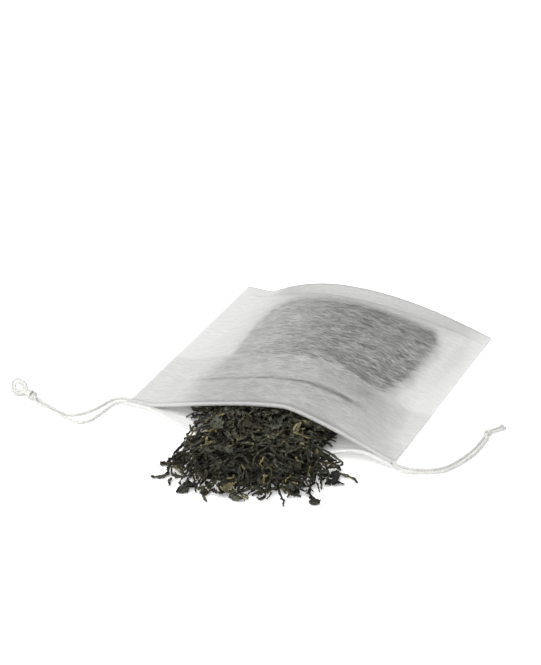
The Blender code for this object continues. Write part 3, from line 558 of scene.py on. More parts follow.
def cross_directions(points):
    """Two cross directions at each point of a line, carried along without twist."""
    along = np.gradient(points, axis=0)
    along /= np.linalg.norm(along, axis=1)[:, None] + 1e-12
    side = np.cross(along[0], (0, 0, 1))
    if np.linalg.norm(side) < 1e-3:
        side = np.cross(along[0], (0, 1, 0))
    sides = []
    for direction in along:
        side = side - direction * side.dot(direction)
        side = side / (np.linalg.norm(side) + 1e-12)
        sides.append(side)
    sides = np.array(sides)
    return sides, np.cross(along, sides)


def grid_quads(rows, columns):
    """Corner numbers of each square of a grid of points."""
    index = np.arange(rows * columns).reshape(rows, columns)
    return np.stack([index[:-1, :-1], index[:-1, 1:], index[1:, 1:], index[1:, :-1]], -1)


class MeshParts:
    """Collects closed tubes and turns them into one mesh."""

    def __init__(self):
        self.points = []
        self.faces = []
        self.places = []
        self.tones = []
        self.count = 0

    def add_tube(self, rings, place=None, tone=(0, 0, 0)):
        """Add a closed tube from an array of rings."""
        n, m = rings.shape[:2]
        start = self.count
        index = start + np.arange(n * m).reshape(n, m)
        around = np.roll(index, -1, axis=1)
        quads = np.stack([index[:-1], around[:-1], around[1:], index[1:]], -1).reshape(-1, 4)
        self.faces += quads.tolist()
        self.faces.append(index[0, ::-1].tolist())
        self.faces.append(index[-1].tolist())
        self.points.append(rings.reshape(-1, 3))
        if place is None:
            place = np.zeros((n, m, 2))
        self.places.append(place.reshape(-1, 2))
        self.tones.append(np.tile(np.array(tone, float), (n * m, 1)))
        self.count += n * m

    def build(self, name, material, with_tones=False):
        """Make the object."""
        mesh = bpy.data.meshes.new(name)
        mesh.from_pydata(np.concatenate(self.points).tolist(), [], self.faces)
        mesh.polygons.foreach_set("use_smooth", [True] * len(mesh.polygons))
        layer = mesh.uv_layers.new(name="blade")
        corner = np.zeros(len(mesh.loops), int)
        mesh.loops.foreach_get("vertex_index", corner)
        layer.data.foreach_set("uv", np.concatenate(self.places)[corner].ravel())
        if with_tones:
            # The tone attribute carries each leaf's paleness, with painted light and shade on the heap, its
            # gold and its seed
            tone = mesh.attributes.new("leaf_tone_and_painted_light", "FLOAT_VECTOR", "POINT")
            tone.data.foreach_set("vector", np.concatenate(self.tones).ravel())
        mesh.materials.append(material)
        if with_tones:
            mesh.set_sharp_from_angle(angle=math.radians(38))
        piece = bpy.data.objects.new(name, mesh)
        bpy.context.scene.collection.objects.link(piece)
        return piece


def settle(piece, slot, *nodes):
    """Let a piece ride with the bag and stand for its solids."""
    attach(piece, "root")
    if nodes:
        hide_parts(*nodes)


# Materials

class Finish:
    """Node tree of one material, with short calls for its nodes."""

    def __init__(self, name):
        self.material = bpy.data.materials.new(name)
        self.material.use_nodes = True
        self.tree = self.material.node_tree
        self.shader = self.tree.nodes["Principled BSDF"]
        self.out = self.tree.nodes["Material Output"]

    def node(self, kind, **settings):
        """Add a node and set its values; inputs are given by their names with spaces as underscores."""
        item = self.tree.nodes.new(kind)
        for key, value in settings.items():
            if hasattr(item, key):
                setattr(item, key, value)
            else:
                socket = item.inputs[int(key[1:]) if key[0] == "_" else key.replace("_", " ")]
                if isinstance(value, bpy.types.NodeSocket):
                    self.tree.links.new(value, socket)
                else:
                    socket.default_value = value
        return item

    def math(self, operation, a, b=0.0, c=0.0):
        """Add a math node and give back its result."""
        item = self.node("ShaderNodeMath", operation=operation, _0=a, _1=b, _2=c)
        return item.outputs[0]

    def weigh(self, *pairs):
        """Add up values, each times its weight."""
        total = 0.0
        for value, weight in pairs:
            total = self.math("MULTIPLY_ADD", value, weight, total)
        return total

    def attribute(self, name):
        """Value of one of the mesh's own attributes."""
        return self.node("ShaderNodeAttribute", attribute_name=name).outputs["Fac"]

    def band(self, value, low, high, to_low=0.0, to_high=1.0):
        """Map a value from one range to another, held at both ends."""
        item = self.node("ShaderNodeMapRange", clamp=True, Value=value, From_Min=low, From_Max=high,
                         To_Min=to_low, To_Max=to_high)
        return item.outputs[0]

    def blend(self, share, a, b):
        """Mix two colours."""
        item = self.node("ShaderNodeMix", data_type="RGBA")
        for socket, value in ((item.inputs[0], share), (item.inputs[6], a), (item.inputs[7], b)):
            if isinstance(value, bpy.types.NodeSocket):
                self.tree.links.new(value, socket)
            elif socket == item.inputs[0]:
                socket.default_value = value
            else:
                socket.default_value = (*value, 1.0)
        return item.outputs[2]

    def noise(self, where, scale, detail=2.0, roughness=0.5):
        """Add a noise texture and give back its value."""
        item = self.node("ShaderNodeTexNoise", Vector=where, Scale=scale, Detail=detail,
                         Roughness=roughness)
        return item.outputs[0]

    def surface(self, tint, roughness, specular, bump=None):
        """Join the colour and the relief to the shader and set its roughness and shine."""
        self.tree.links.new(tint, self.shader.inputs["Base Color"])
        if bump is not None:
            self.tree.links.new(bump.outputs[0], self.shader.inputs["Normal"])
        if isinstance(roughness, bpy.types.NodeSocket):
            self.tree.links.new(roughness, self.shader.inputs["Roughness"])
        else:
            self.shader.inputs["Roughness"].default_value = roughness
        self.shader.inputs["Specular IOR Level"].default_value = specular


def fibre_web(look, where, x, y, spacing):
    """Crossing fibres of the paper: the mean of all their layers, and the strongest one at each place."""
    wander = look.math("SUBTRACT", look.noise(where, 55.0, 2.0), 0.5)
    bent = look.math("MULTIPLY_ADD", wander, FIBRE_DRIFT, y)
    fibres, hairs = 0.0, 0.0
    for slope, length, closeness in FIBRE_LAYERS:
        leaning = look.math("MULTIPLY_ADD", x, slope, bent)
        # Each layer starts at a place of its own in the noise, so that no two layers share a pattern
        place_x = look.math("MULTIPLY_ADD", x, length, 23.7 * slope + 0.41)
        place_y = look.math("MULTIPLY", leaning, closeness / spacing)
        place = look.node("ShaderNodeCombineXYZ", X=place_x, Y=place_y, Z=47.3 * slope + 0.37)
        strand = look.math("ABSOLUTE", look.math("SUBTRACT", look.noise(place.outputs[0], 1.0, 0.0), 0.5))
        strand = look.band(strand, 0.0, FIBRE_BAND, 1.0, 0.0)
        fibres = look.math("ADD", strand, fibres)
        hairs = look.math("MAXIMUM", strand, hairs)
    return look.math("DIVIDE", fibres, float(len(FIBRE_LAYERS))), hairs


def weld_line(look, where, x, y, weld_y):
    """How strong the weld across the hem is: broader at the right, and faded out before both sides."""
    waver = look.math("SUBTRACT", look.noise(where, 45.0, 1.0), 0.5)
    sway = look.math("MULTIPLY_ADD", waver, WELD_WAVER, y)
    from_weld = look.math("ABSOLUTE", look.math("SUBTRACT", sway, weld_y))
    reach = look.band(x, -20 * MM, 20 * MM, WELD_LEFT, WELD_RIGHT)
    weld = look.math("SUBTRACT", 1.0, look.math("DIVIDE", from_weld, reach))
    weld = look.math("MAXIMUM", weld, 0.0)
    weld = look.math("MULTIPLY", weld, look.band(x, -20 * MM, 16 * MM, 0.55, 1.0))
    left_end = look.band(x, -36 * MM, -28 * MM)
    right_end = look.band(x, 24 * MM, 34 * MM, 1.0, 0.0)
    return look.math("MULTIPLY", weld, look.math("MULTIPLY", right_end, left_end))


def paper_shade(look, paper, y, streaks, hollow, lifted):
    """Painted shade and light on the paper: how bright it is at each place, as a share of its colour."""
    mouth, seam = -paper.depth / 2, paper.depth / 2
    from_rim = look.math("ABSOLUTE", look.math("SUBTRACT", y, mouth + 1.6 * MM))
    # The seal at the back is painted darker where it stands off the table: painted shade
    seal = look.math("MULTIPLY", look.band(y, seam - 6.5 * MM, seam - 4.5 * MM), lifted)
    shade = look.math("MULTIPLY_ADD", streaks, 0.03, 0.98)
    # Each factor paints shade or light into the colour: shade off the table, over the mouth, behind the upper
    # channel and on the seal, and light on the lower lip
    for factor in (look.band(lifted, 0.0, 1.0, 1.0, LIFTED_SHADE),
                   look.band(hollow, 0.0, 1.0, 1.0, HOLLOW_SHADE),
                   look.band(y, mouth - 3 * MM, mouth, LIP_SHADE, 1.0),
                   look.band(from_rim, 1.0 * MM, 1.8 * MM, RIM_SHADE, 1.0),
                   look.band(seal, 0.0, 1.0, 1.0, SEAL_SHADE)):
        shade = look.math("MULTIPLY", shade, factor)
    return shade


def make_paper_finish(paper):
    """Thin filter paper: it reflects, glows and lets a little light through, streaked by fibres."""
    look = Finish("filter_paper_white")
    where = look.node("ShaderNodeTexCoord").outputs["Object"]
    split = look.node("ShaderNodeSeparateXYZ", Vector=where)
    x, y = split.outputs["X"], split.outputs["Y"]
    pressed, ply = look.attribute("pressed"), look.attribute("hem_ply")
    hollow, lifted = look.attribute("hollow"), look.attribute("lifted")
    held = look.math("MAXIMUM", pressed, ply)
    weld = weld_line(look, where, x, y, -paper.depth / 2 + paper.weld)

    fibres, hairs = fibre_web(look, where, x, y, paper.fibre)
    streaked = look.node("ShaderNodeMapping", Vector=where, Scale=(150.0, 620.0, 150.0))
    cloud = look.noise(streaked.outputs[0], 1.0, 3.0, 0.6)
    dabs = look.math("SUBTRACT", look.noise(where, 230.0, 2.0, 0.5), 0.5)
    streaks = look.weigh((fibres, FIBRE_SHARE), (cloud, CLOUD_SHARE), (hairs, HAIR_SHARE))

    # The streaks show where the layers are pressed together, and are faint elsewhere
    dense = look.math("SUBTRACT", look.weigh((dabs, DAB_SHARE), (streaks, 1.0)), STREAK_MIDDLE)
    dense = look.math("MULTIPLY", dense, look.band(held, 0.0, 0.8, 0.35, 1.0))
    dense = look.math("ADD", dense, look.band(pressed, 0.0, 1.0, 0.55, 0.545))

    # Light that goes straight through, less of it through the hem's two plies
    clear = look.band(dense, 0.25, 0.75, CLEAR_THIN, CLEAR_DENSE)
    clear = look.math("MULTIPLY", clear, look.band(ply, 0.0, 1.0, 1.0, CLEAR_IN_HEM))
    clear = look.math("MULTIPLY_ADD", weld, WELD_CLEAR, clear)

    # Light that glows through, more of it where the paper lies on tea or stands over the mouth
    firm = look.math("MAXIMUM", held, look.math("MULTIPLY", hollow, 0.66))
    through = look.band(dense, 0.20, 0.80, GLOW_THIN, GLOW_DENSE)
    through = look.math("MULTIPLY", through, look.band(firm, 0.0, 0.9, 0.50, 1.0))
    through = look.math("MULTIPLY_ADD", weld, WELD_GLOW, through)

    # The paper's colour carries the painted shade and painted light of paper_shade
    shade = paper_shade(look, paper, y, streaks, hollow, lifted)
    tint = look.node("ShaderNodeVectorMath", operation="SCALE", _0=tuple(paper.colour), Scale=shade)
    bump = look.node("ShaderNodeBump", Strength=0.05, Distance=0.03 * MM, Height=streaks)
    look.surface(tint.outputs[0], roughness=0.85, specular=0.15, bump=bump)
    glow = look.node("ShaderNodeBsdfTranslucent", Color=tint.outputs[0], Normal=bump.outputs[0])
    body = look.node("ShaderNodeMixShader", Fac=through, _1=look.shader.outputs[0], _2=glow.outputs[0])
    straight = look.node("ShaderNodeBsdfTransparent")
    whole = look.node("ShaderNodeMixShader", Fac=clear, _1=body.outputs[0], _2=straight.outputs[0])
    look.tree.links.new(whole.outputs[0], look.out.inputs["Surface"])
    return look.material


def make_cotton_finish(string):
    """Soft cotton yarn with fine fibres wound along each ply."""
    look = Finish("cotton_twist_off_white")
    place = look.node("ShaderNodeUVMap", uv_map="blade").outputs[0]
    stretched = look.node("ShaderNodeMapping", Vector=place, Scale=(14.0, 900.0, 1.0))
    hair = look.noise(stretched.outputs[0], 1.0, 3.0, 0.6)
    where = look.node("ShaderNodeTexCoord").outputs["Object"]
    cloud = look.noise(where, 900.0, 2.0)
    light = tuple(string.colour)
    grey = tuple(COTTON_GREY * value for value in light)
    tint = look.blend(look.band(look.weigh((cloud, 0.5), (hair, 1.0)), 0.5, 0.95), grey, light)
    bump = look.node("ShaderNodeBump", Strength=0.7, Distance=0.12 * MM, Height=hair)
    look.surface(tint, roughness=0.9, specular=0.2, bump=bump)
    look.shader.inputs["Sheen Weight"].default_value = 0.3
    return look.material


def make_leaf_finish(tea):
    """Dry rolled tea leaf: near black to grey olive, with golden tips, painted golden glints and wrinkles
    along the blade.
    """
    look = Finish("dry_tea_leaf")
    tone = look.node("ShaderNodeAttribute", attribute_name="leaf_tone_and_painted_light").outputs["Vector"]
    split = look.node("ShaderNodeSeparateXYZ", Vector=tone)
    paleness_and_painted_light, gold, seed = split.outputs
    place = look.node("ShaderNodeUVMap", uv_map="blade").outputs[0]
    shift = look.node("ShaderNodeCombineXYZ", X=look.math("MULTIPLY", seed, 3.0), Y=0.0, Z=seed)
    shifted = look.node("ShaderNodeVectorMath", operation="ADD", _0=place, _1=shift.outputs[0])
    wrinkle_place = look.node("ShaderNodeMapping", Vector=shifted.outputs[0], Scale=(2600.0, 380.0, 40.0))
    wrinkle = look.noise(wrinkle_place.outputs[0], 1.0, 3.0, 0.6)
    where = look.node("ShaderNodeTexCoord").outputs["Object"]
    mottle = look.noise(where, 900.0, 3.0, 0.6)
    broad = look.noise(where, 210.0, 2.0, 0.5)
    # Paleness carries painted light and shade for the heap's leaves: paler at its top, darker at its front
    pale = look.weigh((paleness_and_painted_light, 0.55), (look.math("SUBTRACT", mottle, 0.53), 2.4),
                      (look.math("SUBTRACT", wrinkle, 0.5), 1.4))
    tint = look.blend(look.band(pale, 0.14, 0.88), tuple(tea.dark), tuple(tea.olive))

    # Gold covers the tips and stalks; the small golden spots on the other leaves are painted glints
    spot = look.weigh((broad, 0.6), (mottle, 0.4))
    covered = look.math("MULTIPLY", gold, look.band(spot, 0.36, 0.58, 0.15, 1.0))
    gold_and_painted_glints = look.math("ADD", covered, look.band(spot, 0.615, 0.67, 0.0, 0.7))
    tint = look.blend(gold_and_painted_glints, tint, tuple(tea.golden))
    relief = look.weigh((mottle, 0.6), (wrinkle, 1.0))
    bump = look.node("ShaderNodeBump", Strength=0.9, Distance=0.22 * MM, Height=relief)
    look.surface(tint, roughness=look.band(mottle, 0.3, 0.7, 0.45, 0.75), specular=0.32, bump=bump)
    return look.material


def make_floor_finish():
    """Plain white table with a faint glow of its own, as under even studio light."""
    look = Finish("white_table")
    where = look.node("ShaderNodeTexCoord").outputs["Object"]
    grain = look.noise(where, 3.0, 2.0)
    tint = look.blend(grain, (0.93, 0.93, 0.93), (0.95, 0.95, 0.95))
    look.surface(tint, roughness=0.8, specular=0.1)
    look.shader.inputs["Emission Color"].default_value = (1.0, 1.0, 1.0, 1.0)
    look.shader.inputs["Emission Strength"].default_value = TABLE_GLOW
    return look.material


def shared_finish(name, make, settings):
    """Give back a material that is there already, or make it."""
    return bpy.data.materials.get(name) or make(settings)


# Drawstring

def yarn_rings(points, radius, pitch, plies=3, start=0.0, flare=0.0):
    """Rings of a cord of twisted plies, with their places along and round it."""
    sides, lifts = cross_directions(points)
    steps = np.linalg.norm(np.diff(points, axis=0), axis=1)
    travelled = np.concatenate([[0], np.cumsum(steps)])
    around = 6 * plies
    angle = 2 * math.pi * np.arange(around) / around
    turn = start + 2 * math.pi * travelled / pitch
    lobe = np.abs(np.cos(0.5 * plies * (angle[None, :] - turn[:, None])))
    uneven = 1 + YARN_UNEVENNESS * np.sin(travelled * YARN_WAVES + start * 5)[:, None]
    grow = 1 + flare * (travelled / travelled[-1])[:, None] ** 3
    reach = radius * (1 - PLY_GROOVE + PLY_GROOVE * lobe) * uneven * grow
    rings = (points[:, None] + sides[:, None] * (reach * np.cos(angle))[..., None]
             + lifts[:, None] * (reach * np.sin(angle))[..., None])
    share = angle[None, :] / (2 * math.pi) - turn[:, None] / (2 * math.pi)
    place = np.stack([share, np.broadcast_to(travelled[:, None], share.shape)], -1)
    return rings, place


def lay_yarn(parts, string, line, thickness=1.0, **more):
    """Add one line of the string, drawn thicker or thinner by a share."""
    parts.add_tube(*yarn_rings(line, thickness * string.diameter / 2, string.pitch, **more))


def strand_lines(shape, rim, left_route, right_route):
    """Left free end, stretch in the channel and right free end of one strand."""
    left = [(x - shape.half_width, y + shape.mouth, z) for x, y, z in reversed(left_route)]
    right = [(x + shape.half_width, y + shape.mouth, z) for x, y, z in right_route]
    middle = rim(np.linspace(-shape.half_width, shape.half_width, 21))
    whole = smooth_line(left + middle.tolist() + right, 0.3 * MM)
    inside = np.flatnonzero(np.abs(whole[:, 0]) <= shape.half_width)
    first, last = inside[0], inside[-1]
    return whole[:first + 1][::-1], whole[first:last + 1], whole[last:]


class OBJECT_OT_tea_bag_string(bpy.types.Operator):
    """Make the cotton drawstring: two strands that run in the mouth's channels and out at both corners"""
    bl_idname = "object.tea_bag_string"
    bl_label = "Cotton Drawstring"

    def execute(self, context):
        shape = BagShape(context.scene.tea_bag_paper)
        string = context.scene.tea_bag_string
        cotton = shared_finish("cotton_twist_off_white", make_cotton_finish, string)
        strands = {"upper": (shape.upper_rim, UPPER_LEFT, UPPER_RIGHT, 0.7),
                   "lower": (shape.lower_rim, LOWER_LEFT, LOWER_RIGHT, 2.1)}
        for level, (rim, left_route, right_route, start) in strands.items():
            node = f"drawstring_{level}"
            left, inside, right = strand_lines(shape, rim, left_route, right_route)
            for side, line in (("left", left), ("right", right)):
                yarn = MeshParts()
                lay_yarn(yarn, string, line, start=start)
                free = yarn.build(f"{node}_{side}_end", cotton)
                settle(free, "cotton_string", node)
            yarn = MeshParts()
            lay_yarn(yarn, string, inside[::2])
            settle(yarn.build(f"{node}_in_channel", cotton), "cotton_string", node)
        return {"FINISHED"}


def wound_line(start, end, radius, turns, phase, points=40):
    """Line that winds round the axis between two points."""
    start, end = np.array(start), np.array(end)
    axis = (end - start) / np.linalg.norm(end - start)
    side = np.cross(axis, (0, 0, 1))
    side /= np.linalg.norm(side)
    lift = np.cross(axis, side)
    share = np.linspace(0, 1, points)[:, None]
    angle = phase + 2 * math.pi * turns * share
    swell = radius * np.sin(math.pi * (0.12 + 0.76 * share))
    line = start + (end - start) * share + (side * np.cos(angle) + lift * np.sin(angle)) * swell
    line[:, 2] = np.maximum(line[:, 2], 0.55 * MM)
    return line


def feed_line(corner, route, start, end):
    """Line that carries one strand on from its free end into the knot."""
    before, last = corner + np.array(route[-2]), corner + np.array(route[-1])
    along = (last - before) / np.linalg.norm(last - before)
    inside = [start + share * (end - start) for share in (0.2, 0.55)]
    return smooth_line([last - 0.5 * MM * along, last, *inside], LINE_SPACING)


def tie_knot(string, corner, ends, routes, core, wrap):
    """Two strands wound round each other between a knot's ends, with the string wrapped round them."""
    knot = MeshParts()
    start, end = corner + ends[0], corner + ends[1]
    radius, turns, phase, thickness = core
    for first_angle in (phase, phase + math.pi):
        lay_yarn(knot, string, wound_line(start, end, radius, turns, first_angle), thickness)
    for route in routes:
        lay_yarn(knot, string, feed_line(corner, route, start, end), 1.02)
    radius, turns, phase, thickness, points = wrap
    wrap_start, wrap_end = start + 0.15 * (end - start), start + 0.80 * (end - start)
    lay_yarn(knot, string, wound_line(wrap_start, wrap_end, radius, turns, phase, points), thickness)
    return knot


def add_open_loop(knot, string, centre, end):
    """Add the small open loop, with its two strands side by side."""
    facing = np.array(LOOP_FACING) / np.linalg.norm(LOOP_FACING)
    toward = end - centre
    toward = toward - facing * toward.dot(facing)
    toward /= np.linalg.norm(toward)
    across = np.cross(facing, toward)
    for inward in (0.0, LOOP_GAP):
        root = across * (0.45 * MM - 0.3 * inward)
        ring = [end + root]
        for step in range(LOOP_STEPS + 1):
            angle = math.radians(LOOP_FIRST + LOOP_SWEEP * step / LOOP_STEPS)
            swell = (string.loop_radius - inward) * (1 + 0.06 * math.sin(3 * angle))
            ring.append(centre + (toward * math.cos(angle) + across * math.sin(angle)) * swell)
        ring.append(end - root)
        lay_yarn(knot, string, smooth_line(ring, LINE_SPACING), 1.05)


def add_tails(knot, string, corner):
    """Add the two short tails, each with frayed hairs at its tip."""
    chance = random.Random(5)
    for route in TAIL_ROUTES:
        line = smooth_line([corner + point for point in route], LINE_SPACING)
        lay_yarn(knot, string, line, 0.9, flare=0.12)
        along = line[-1] - line[-4]
        along /= np.linalg.norm(along)
        for _ in range(HAIRS_PER_TAIL):
            spread = np.array((chance.uniform(-1, 1), chance.uniform(-1, 1), chance.uniform(-0.4, 0.8)))
            root = line[-6] + spread * 0.3 * MM
            tip = root + along * chance.uniform(0.8, 1.9) * MM + spread * 0.5 * MM
            hair = np.array([root, (root + tip) / 2 + spread * 0.12 * MM, tip])
            hair[:, 2] = np.maximum(hair[:, 2], 0.2 * MM)
            knot.add_tube(*yarn_rings(smooth_line(hair, 0.3 * MM), 0.13 * MM, string.pitch, plies=1))


class OBJECT_OT_tea_bag_knots(bpy.types.Operator):
    """Make the two knots of the drawstring: one with a small open loop, one with two short tails"""
    bl_idname = "object.tea_bag_knots"
    bl_label = "Loop Knot and Tail Knot"

    def execute(self, context):
        shape = BagShape(context.scene.tea_bag_paper)
        string = context.scene.tea_bag_string
        cotton = shared_finish("cotton_twist_off_white", make_cotton_finish, string)
        left = np.array((-shape.half_width, shape.mouth, 0))
        knot = tie_knot(string, left, LOOP_KNOT, (UPPER_LEFT, LOWER_LEFT), LOOP_CORE, LOOP_WRAP)
        add_open_loop(knot, string, left + LOOP_CENTRE, left + LOOP_KNOT[1])
        settle(knot.build("loop_knot_of_string", cotton), "cotton_string", "loop_knot")

        right = np.array((shape.half_width, shape.mouth, 0))
        knot = tie_knot(string, right, TAIL_KNOT, (UPPER_RIGHT, LOWER_RIGHT), TAIL_CORE, TAIL_WRAP)
        add_tails(knot, string, right)
        settle(knot.build("tail_knot_of_string", cotton), "cotton_string", "tail_knot")
        return {"FINISHED"}


# Filter paper

def sheet_rows(shape, x):
    """Rows of the strip: hem flap, rolled channel, upper sheet, seam, lower sheet, channel and flap."""

    def upper_height(y):
        """Height of the upper sheet along one row."""
        return shape.crumpled(x, np.full_like(x, y))

    def lower_height(y):
        """Height of the lower sheet along one row."""
        return shape.under(x, np.full_like(x, y)) + 0.5 * shape.paper

    def row(y, z):
        """Points of one row."""
        return np.stack([x, y, z], -1)

    def roll_up(rim, radius, first, sweep):
        """Rows of a channel rolled round the string, from one angle on."""
        for step in range(ROLL_STEPS + 1):
            angle = math.radians(first + sweep * step / ROLL_STEPS)
            rows.append(row(rim[:, 1] - radius * math.cos(angle), rim[:, 2] + radius * math.sin(angle)))

    rows = []
    start = shape.mouth + shape.channel
    hem_end = shape.mouth + shape.hem
    hem_rows = np.linspace(hem_end, start + FLAP_START, int(shape.hem / ROW_SPACING))
    for y in hem_rows:
        rows.append(row(np.full_like(x, y), upper_height(y) - HEM_PLY))
    roll = shape.channel * 0.8
    rim = shape.upper_rim(x)
    rim[:, 2] = np.maximum(rim[:, 2], upper_height(start))
    roll_up(rim, roll, -80, 160)
    for y in np.linspace(start + UPPER_START, shape.half_depth, int(shape.depth / ROW_SPACING)):
        bulge = 0.72 * roll * (1 - smooth_step((y - start) / SETTLE_LENGTH))
        rows.append(row(np.full_like(x, y), upper_height(y) + bulge))
    for y in np.linspace(shape.half_depth, start + LOWER_START, int(shape.depth / LOWER_SPACING)):
        rows.append(row(shape.lower_y(x, np.full_like(x, y)), lower_height(y)))
    roll_up(shape.lower_rim(x), LOWER_ROLL, -90, 170)
    for y in np.linspace(start + LOWER_START, hem_end, int(shape.hem / LOWER_SPACING)):
        rows.append(row(shape.lower_y(x, np.full_like(x, y)), lower_height(y) + HEM_PLY))
    in_upper_hem = np.zeros(len(rows))
    in_upper_hem[:len(hem_rows)] = 1
    return np.array(rows), in_upper_hem


class OBJECT_OT_tea_bag_paper(bpy.types.Operator):
    """Make the bag: one strip of paper folded at the back, hemmed at the mouth and sealed at the sides"""
    bl_idname = "object.tea_bag_paper"
    bl_label = "Filter Paper Bag"

    def execute(self, context):
        paper = context.scene.tea_bag_paper
        shape = BagShape(paper)
        columns = np.linspace(-shape.half_width, shape.half_width, SHEET_COLUMNS)
        rows, in_upper_hem = sheet_rows(shape, columns)
        places = rows[..., 0], rows[..., 1]
        n, m = rows.shape[:2]
        mesh = bpy.data.meshes.new("filter_paper_bag")
        mesh.from_pydata(rows.reshape(-1, 3).tolist(), [], grid_quads(n, m).reshape(-1, 4).tolist())
        mesh.polygons.foreach_set("use_smooth", [True] * len(mesh.polygons))
        # lifted and hollow place painted shade in the paper's colour
        values = {"hem_ply": np.repeat(in_upper_hem, m), "pressed": shape.pressed(*places).ravel(),
                  "lifted": shape.lifted(*places).ravel(), "hollow": shape.hollow(*places).ravel()}
        for name, value in values.items():
            attribute = mesh.attributes.new(name, "FLOAT", "POINT")
            attribute.data.foreach_set("value", value)
        mesh.materials.append(shared_finish("filter_paper_white", make_paper_finish, paper))
        bag = bpy.data.objects.new("filter_paper_bag", mesh)
        context.scene.collection.objects.link(bag)
        settle(bag, "filter_paper", "filter_bag")
        return {"FINISHED"}


# Leaf tea

class Leaf:
    """One dry leaf: its plan on the table, its blade's rings and its colour."""

    def __init__(self, chance, x, y, kind=None, heading=None, length=None, width=None, tone=None,
                 stations=12, sides=6):
        if kind is None:
            kind = chance.choices(range(len(LEAF_KINDS)), [row[0] for row in LEAF_KINDS])[0]
        lengths, widths, curls, twists, golden = LEAF_KINDS[kind][1:]
        length = chance.uniform(*lengths) * MM if length is None else length
        width = chance.uniform(*widths) * MM if width is None else width
        curl = chance.uniform(*curls)
        twist = chance.uniform(*twists) * chance.choice((-1, 1))
        heading = chance.uniform(0, 2 * math.pi) if heading is None else heading
        s = np.linspace(0, 1, stations)
        self.lay_out(chance, (x, y), heading, length, s, kind in (FLAKE, STALK))

        uneven = np.array([chance.uniform(-1, 1) for _ in s])
        self.bow = length * chance.uniform(-0.04, 0.07) * (1 - (2 * s - 1) ** 2) + 0.10 * MM * uneven
        taper = np.sin(math.pi * np.clip(0.06 + 0.88 * s ** chance.uniform(0.7, 1.4), 0, 1)) ** 0.4
        if kind == FLAKE:
            taper = np.sin(math.pi * (0.16 + 0.68 * s)) ** 0.4
        jag = np.array([chance.uniform(0.62, 1.18) for _ in s])
        breadth = width * taper * jag
        curled = curl * np.array([chance.uniform(0.75, 1.15) for _ in s])
        across = np.linspace(-0.5, 0.5, sides)
        half_thick = (STALK_HALF if kind == STALK else BLADE_HALF) * (0.6 + 0.4 * taper)[:, None]
        arc_u, arc_v = self.curl_up(chance, breadth, curled, across, half_thick)
        roll = chance.uniform(0, 2 * math.pi) if kind in (ROLLED, STALK, CRUMB) else chance.gauss(0, 0.7)
        if kind in (FOLDED, FLAKE) and chance.random() < 0.5:
            roll += math.pi
        turn = roll + twist * (s - 0.5) + 0.25 * uneven[::-1]
        self.across = arc_u * np.cos(turn)[:, None] - arc_v * np.sin(turn)[:, None]
        self.up = arc_u * np.sin(turn)[:, None] + arc_v * np.cos(turn)[:, None]
        arc = np.concatenate([across, across[::-1]])
        self.place = np.stack([breadth[:, None] * arc[None, :],
                               np.broadcast_to((s * length)[:, None], arc_u.shape)], -1)
        is_gold = chance.random() < golden
        self.tone = tone or (chance.random() ** 1.3, (0.95 if is_gold else chance.uniform(0.0, 0.15)),
                             chance.random())

    def lay_out(self, chance, middle, heading, length, s, is_plain):
        """Draw the leaf's bent and kinked line on the table; plain leaves bend less."""
        angle = heading + chance.uniform(-1.2, 1.2) * (0.5 if is_plain else 1) * (s - 0.5)
        for _ in range(1 if is_plain else LEAF_KINKS):
            angle = angle + chance.uniform(-0.9, 0.9) * smooth_step((s - chance.uniform(0.05, 0.95)) / 0.12)
        step = length / (len(s) - 1)
        self.line = np.zeros((len(s), 3))
        self.line[1:, 0] = np.cumsum(np.cos(angle[:-1])) * step
        self.line[1:, 1] = np.cumsum(np.sin(angle[:-1])) * step
        self.line -= self.line.mean(axis=0)
        self.line[:, :2] += middle

    def curl_up(self, chance, breadth, curled, across, half_thick):
        """Outer and inner face of the curled and crumpled blade at each station, as one closed ring."""
        radius = breadth / np.maximum(curled, 0.2)
        theta = curled[:, None] * across[None, :]
        crumple = np.array([chance.gauss(0, LEAF_CRUMPLE) for _ in range(theta.size)]).reshape(theta.shape)
        reach = radius[:, None] + crumple
        outer, inner = reach + half_thick, np.maximum(reach - half_thick, 0.04 * MM)
        arc_u = np.concatenate([outer * np.sin(theta), (inner * np.sin(theta))[:, ::-1]], 1)
        arc_v = np.concatenate([-outer * np.cos(theta), (-inner * np.cos(theta))[:, ::-1]], 1)
        arc_v -= arc_v.mean(axis=1)[:, None]
        return arc_u, arc_v

    def rings(self):
        """Rings of the blade at the leaf's present height."""
        along = np.gradient(self.line, axis=0)
        along /= np.linalg.norm(along, axis=1)[:, None] + 1e-12
        side = np.cross(along, (0, 0, 1))
        side /= np.linalg.norm(side, axis=1)[:, None] + 1e-12
        lift = np.cross(side, along)
        sideways = side[:, None] * self.across[..., None]
        return self.line[:, None] + sideways + lift[:, None] * self.up[..., None]


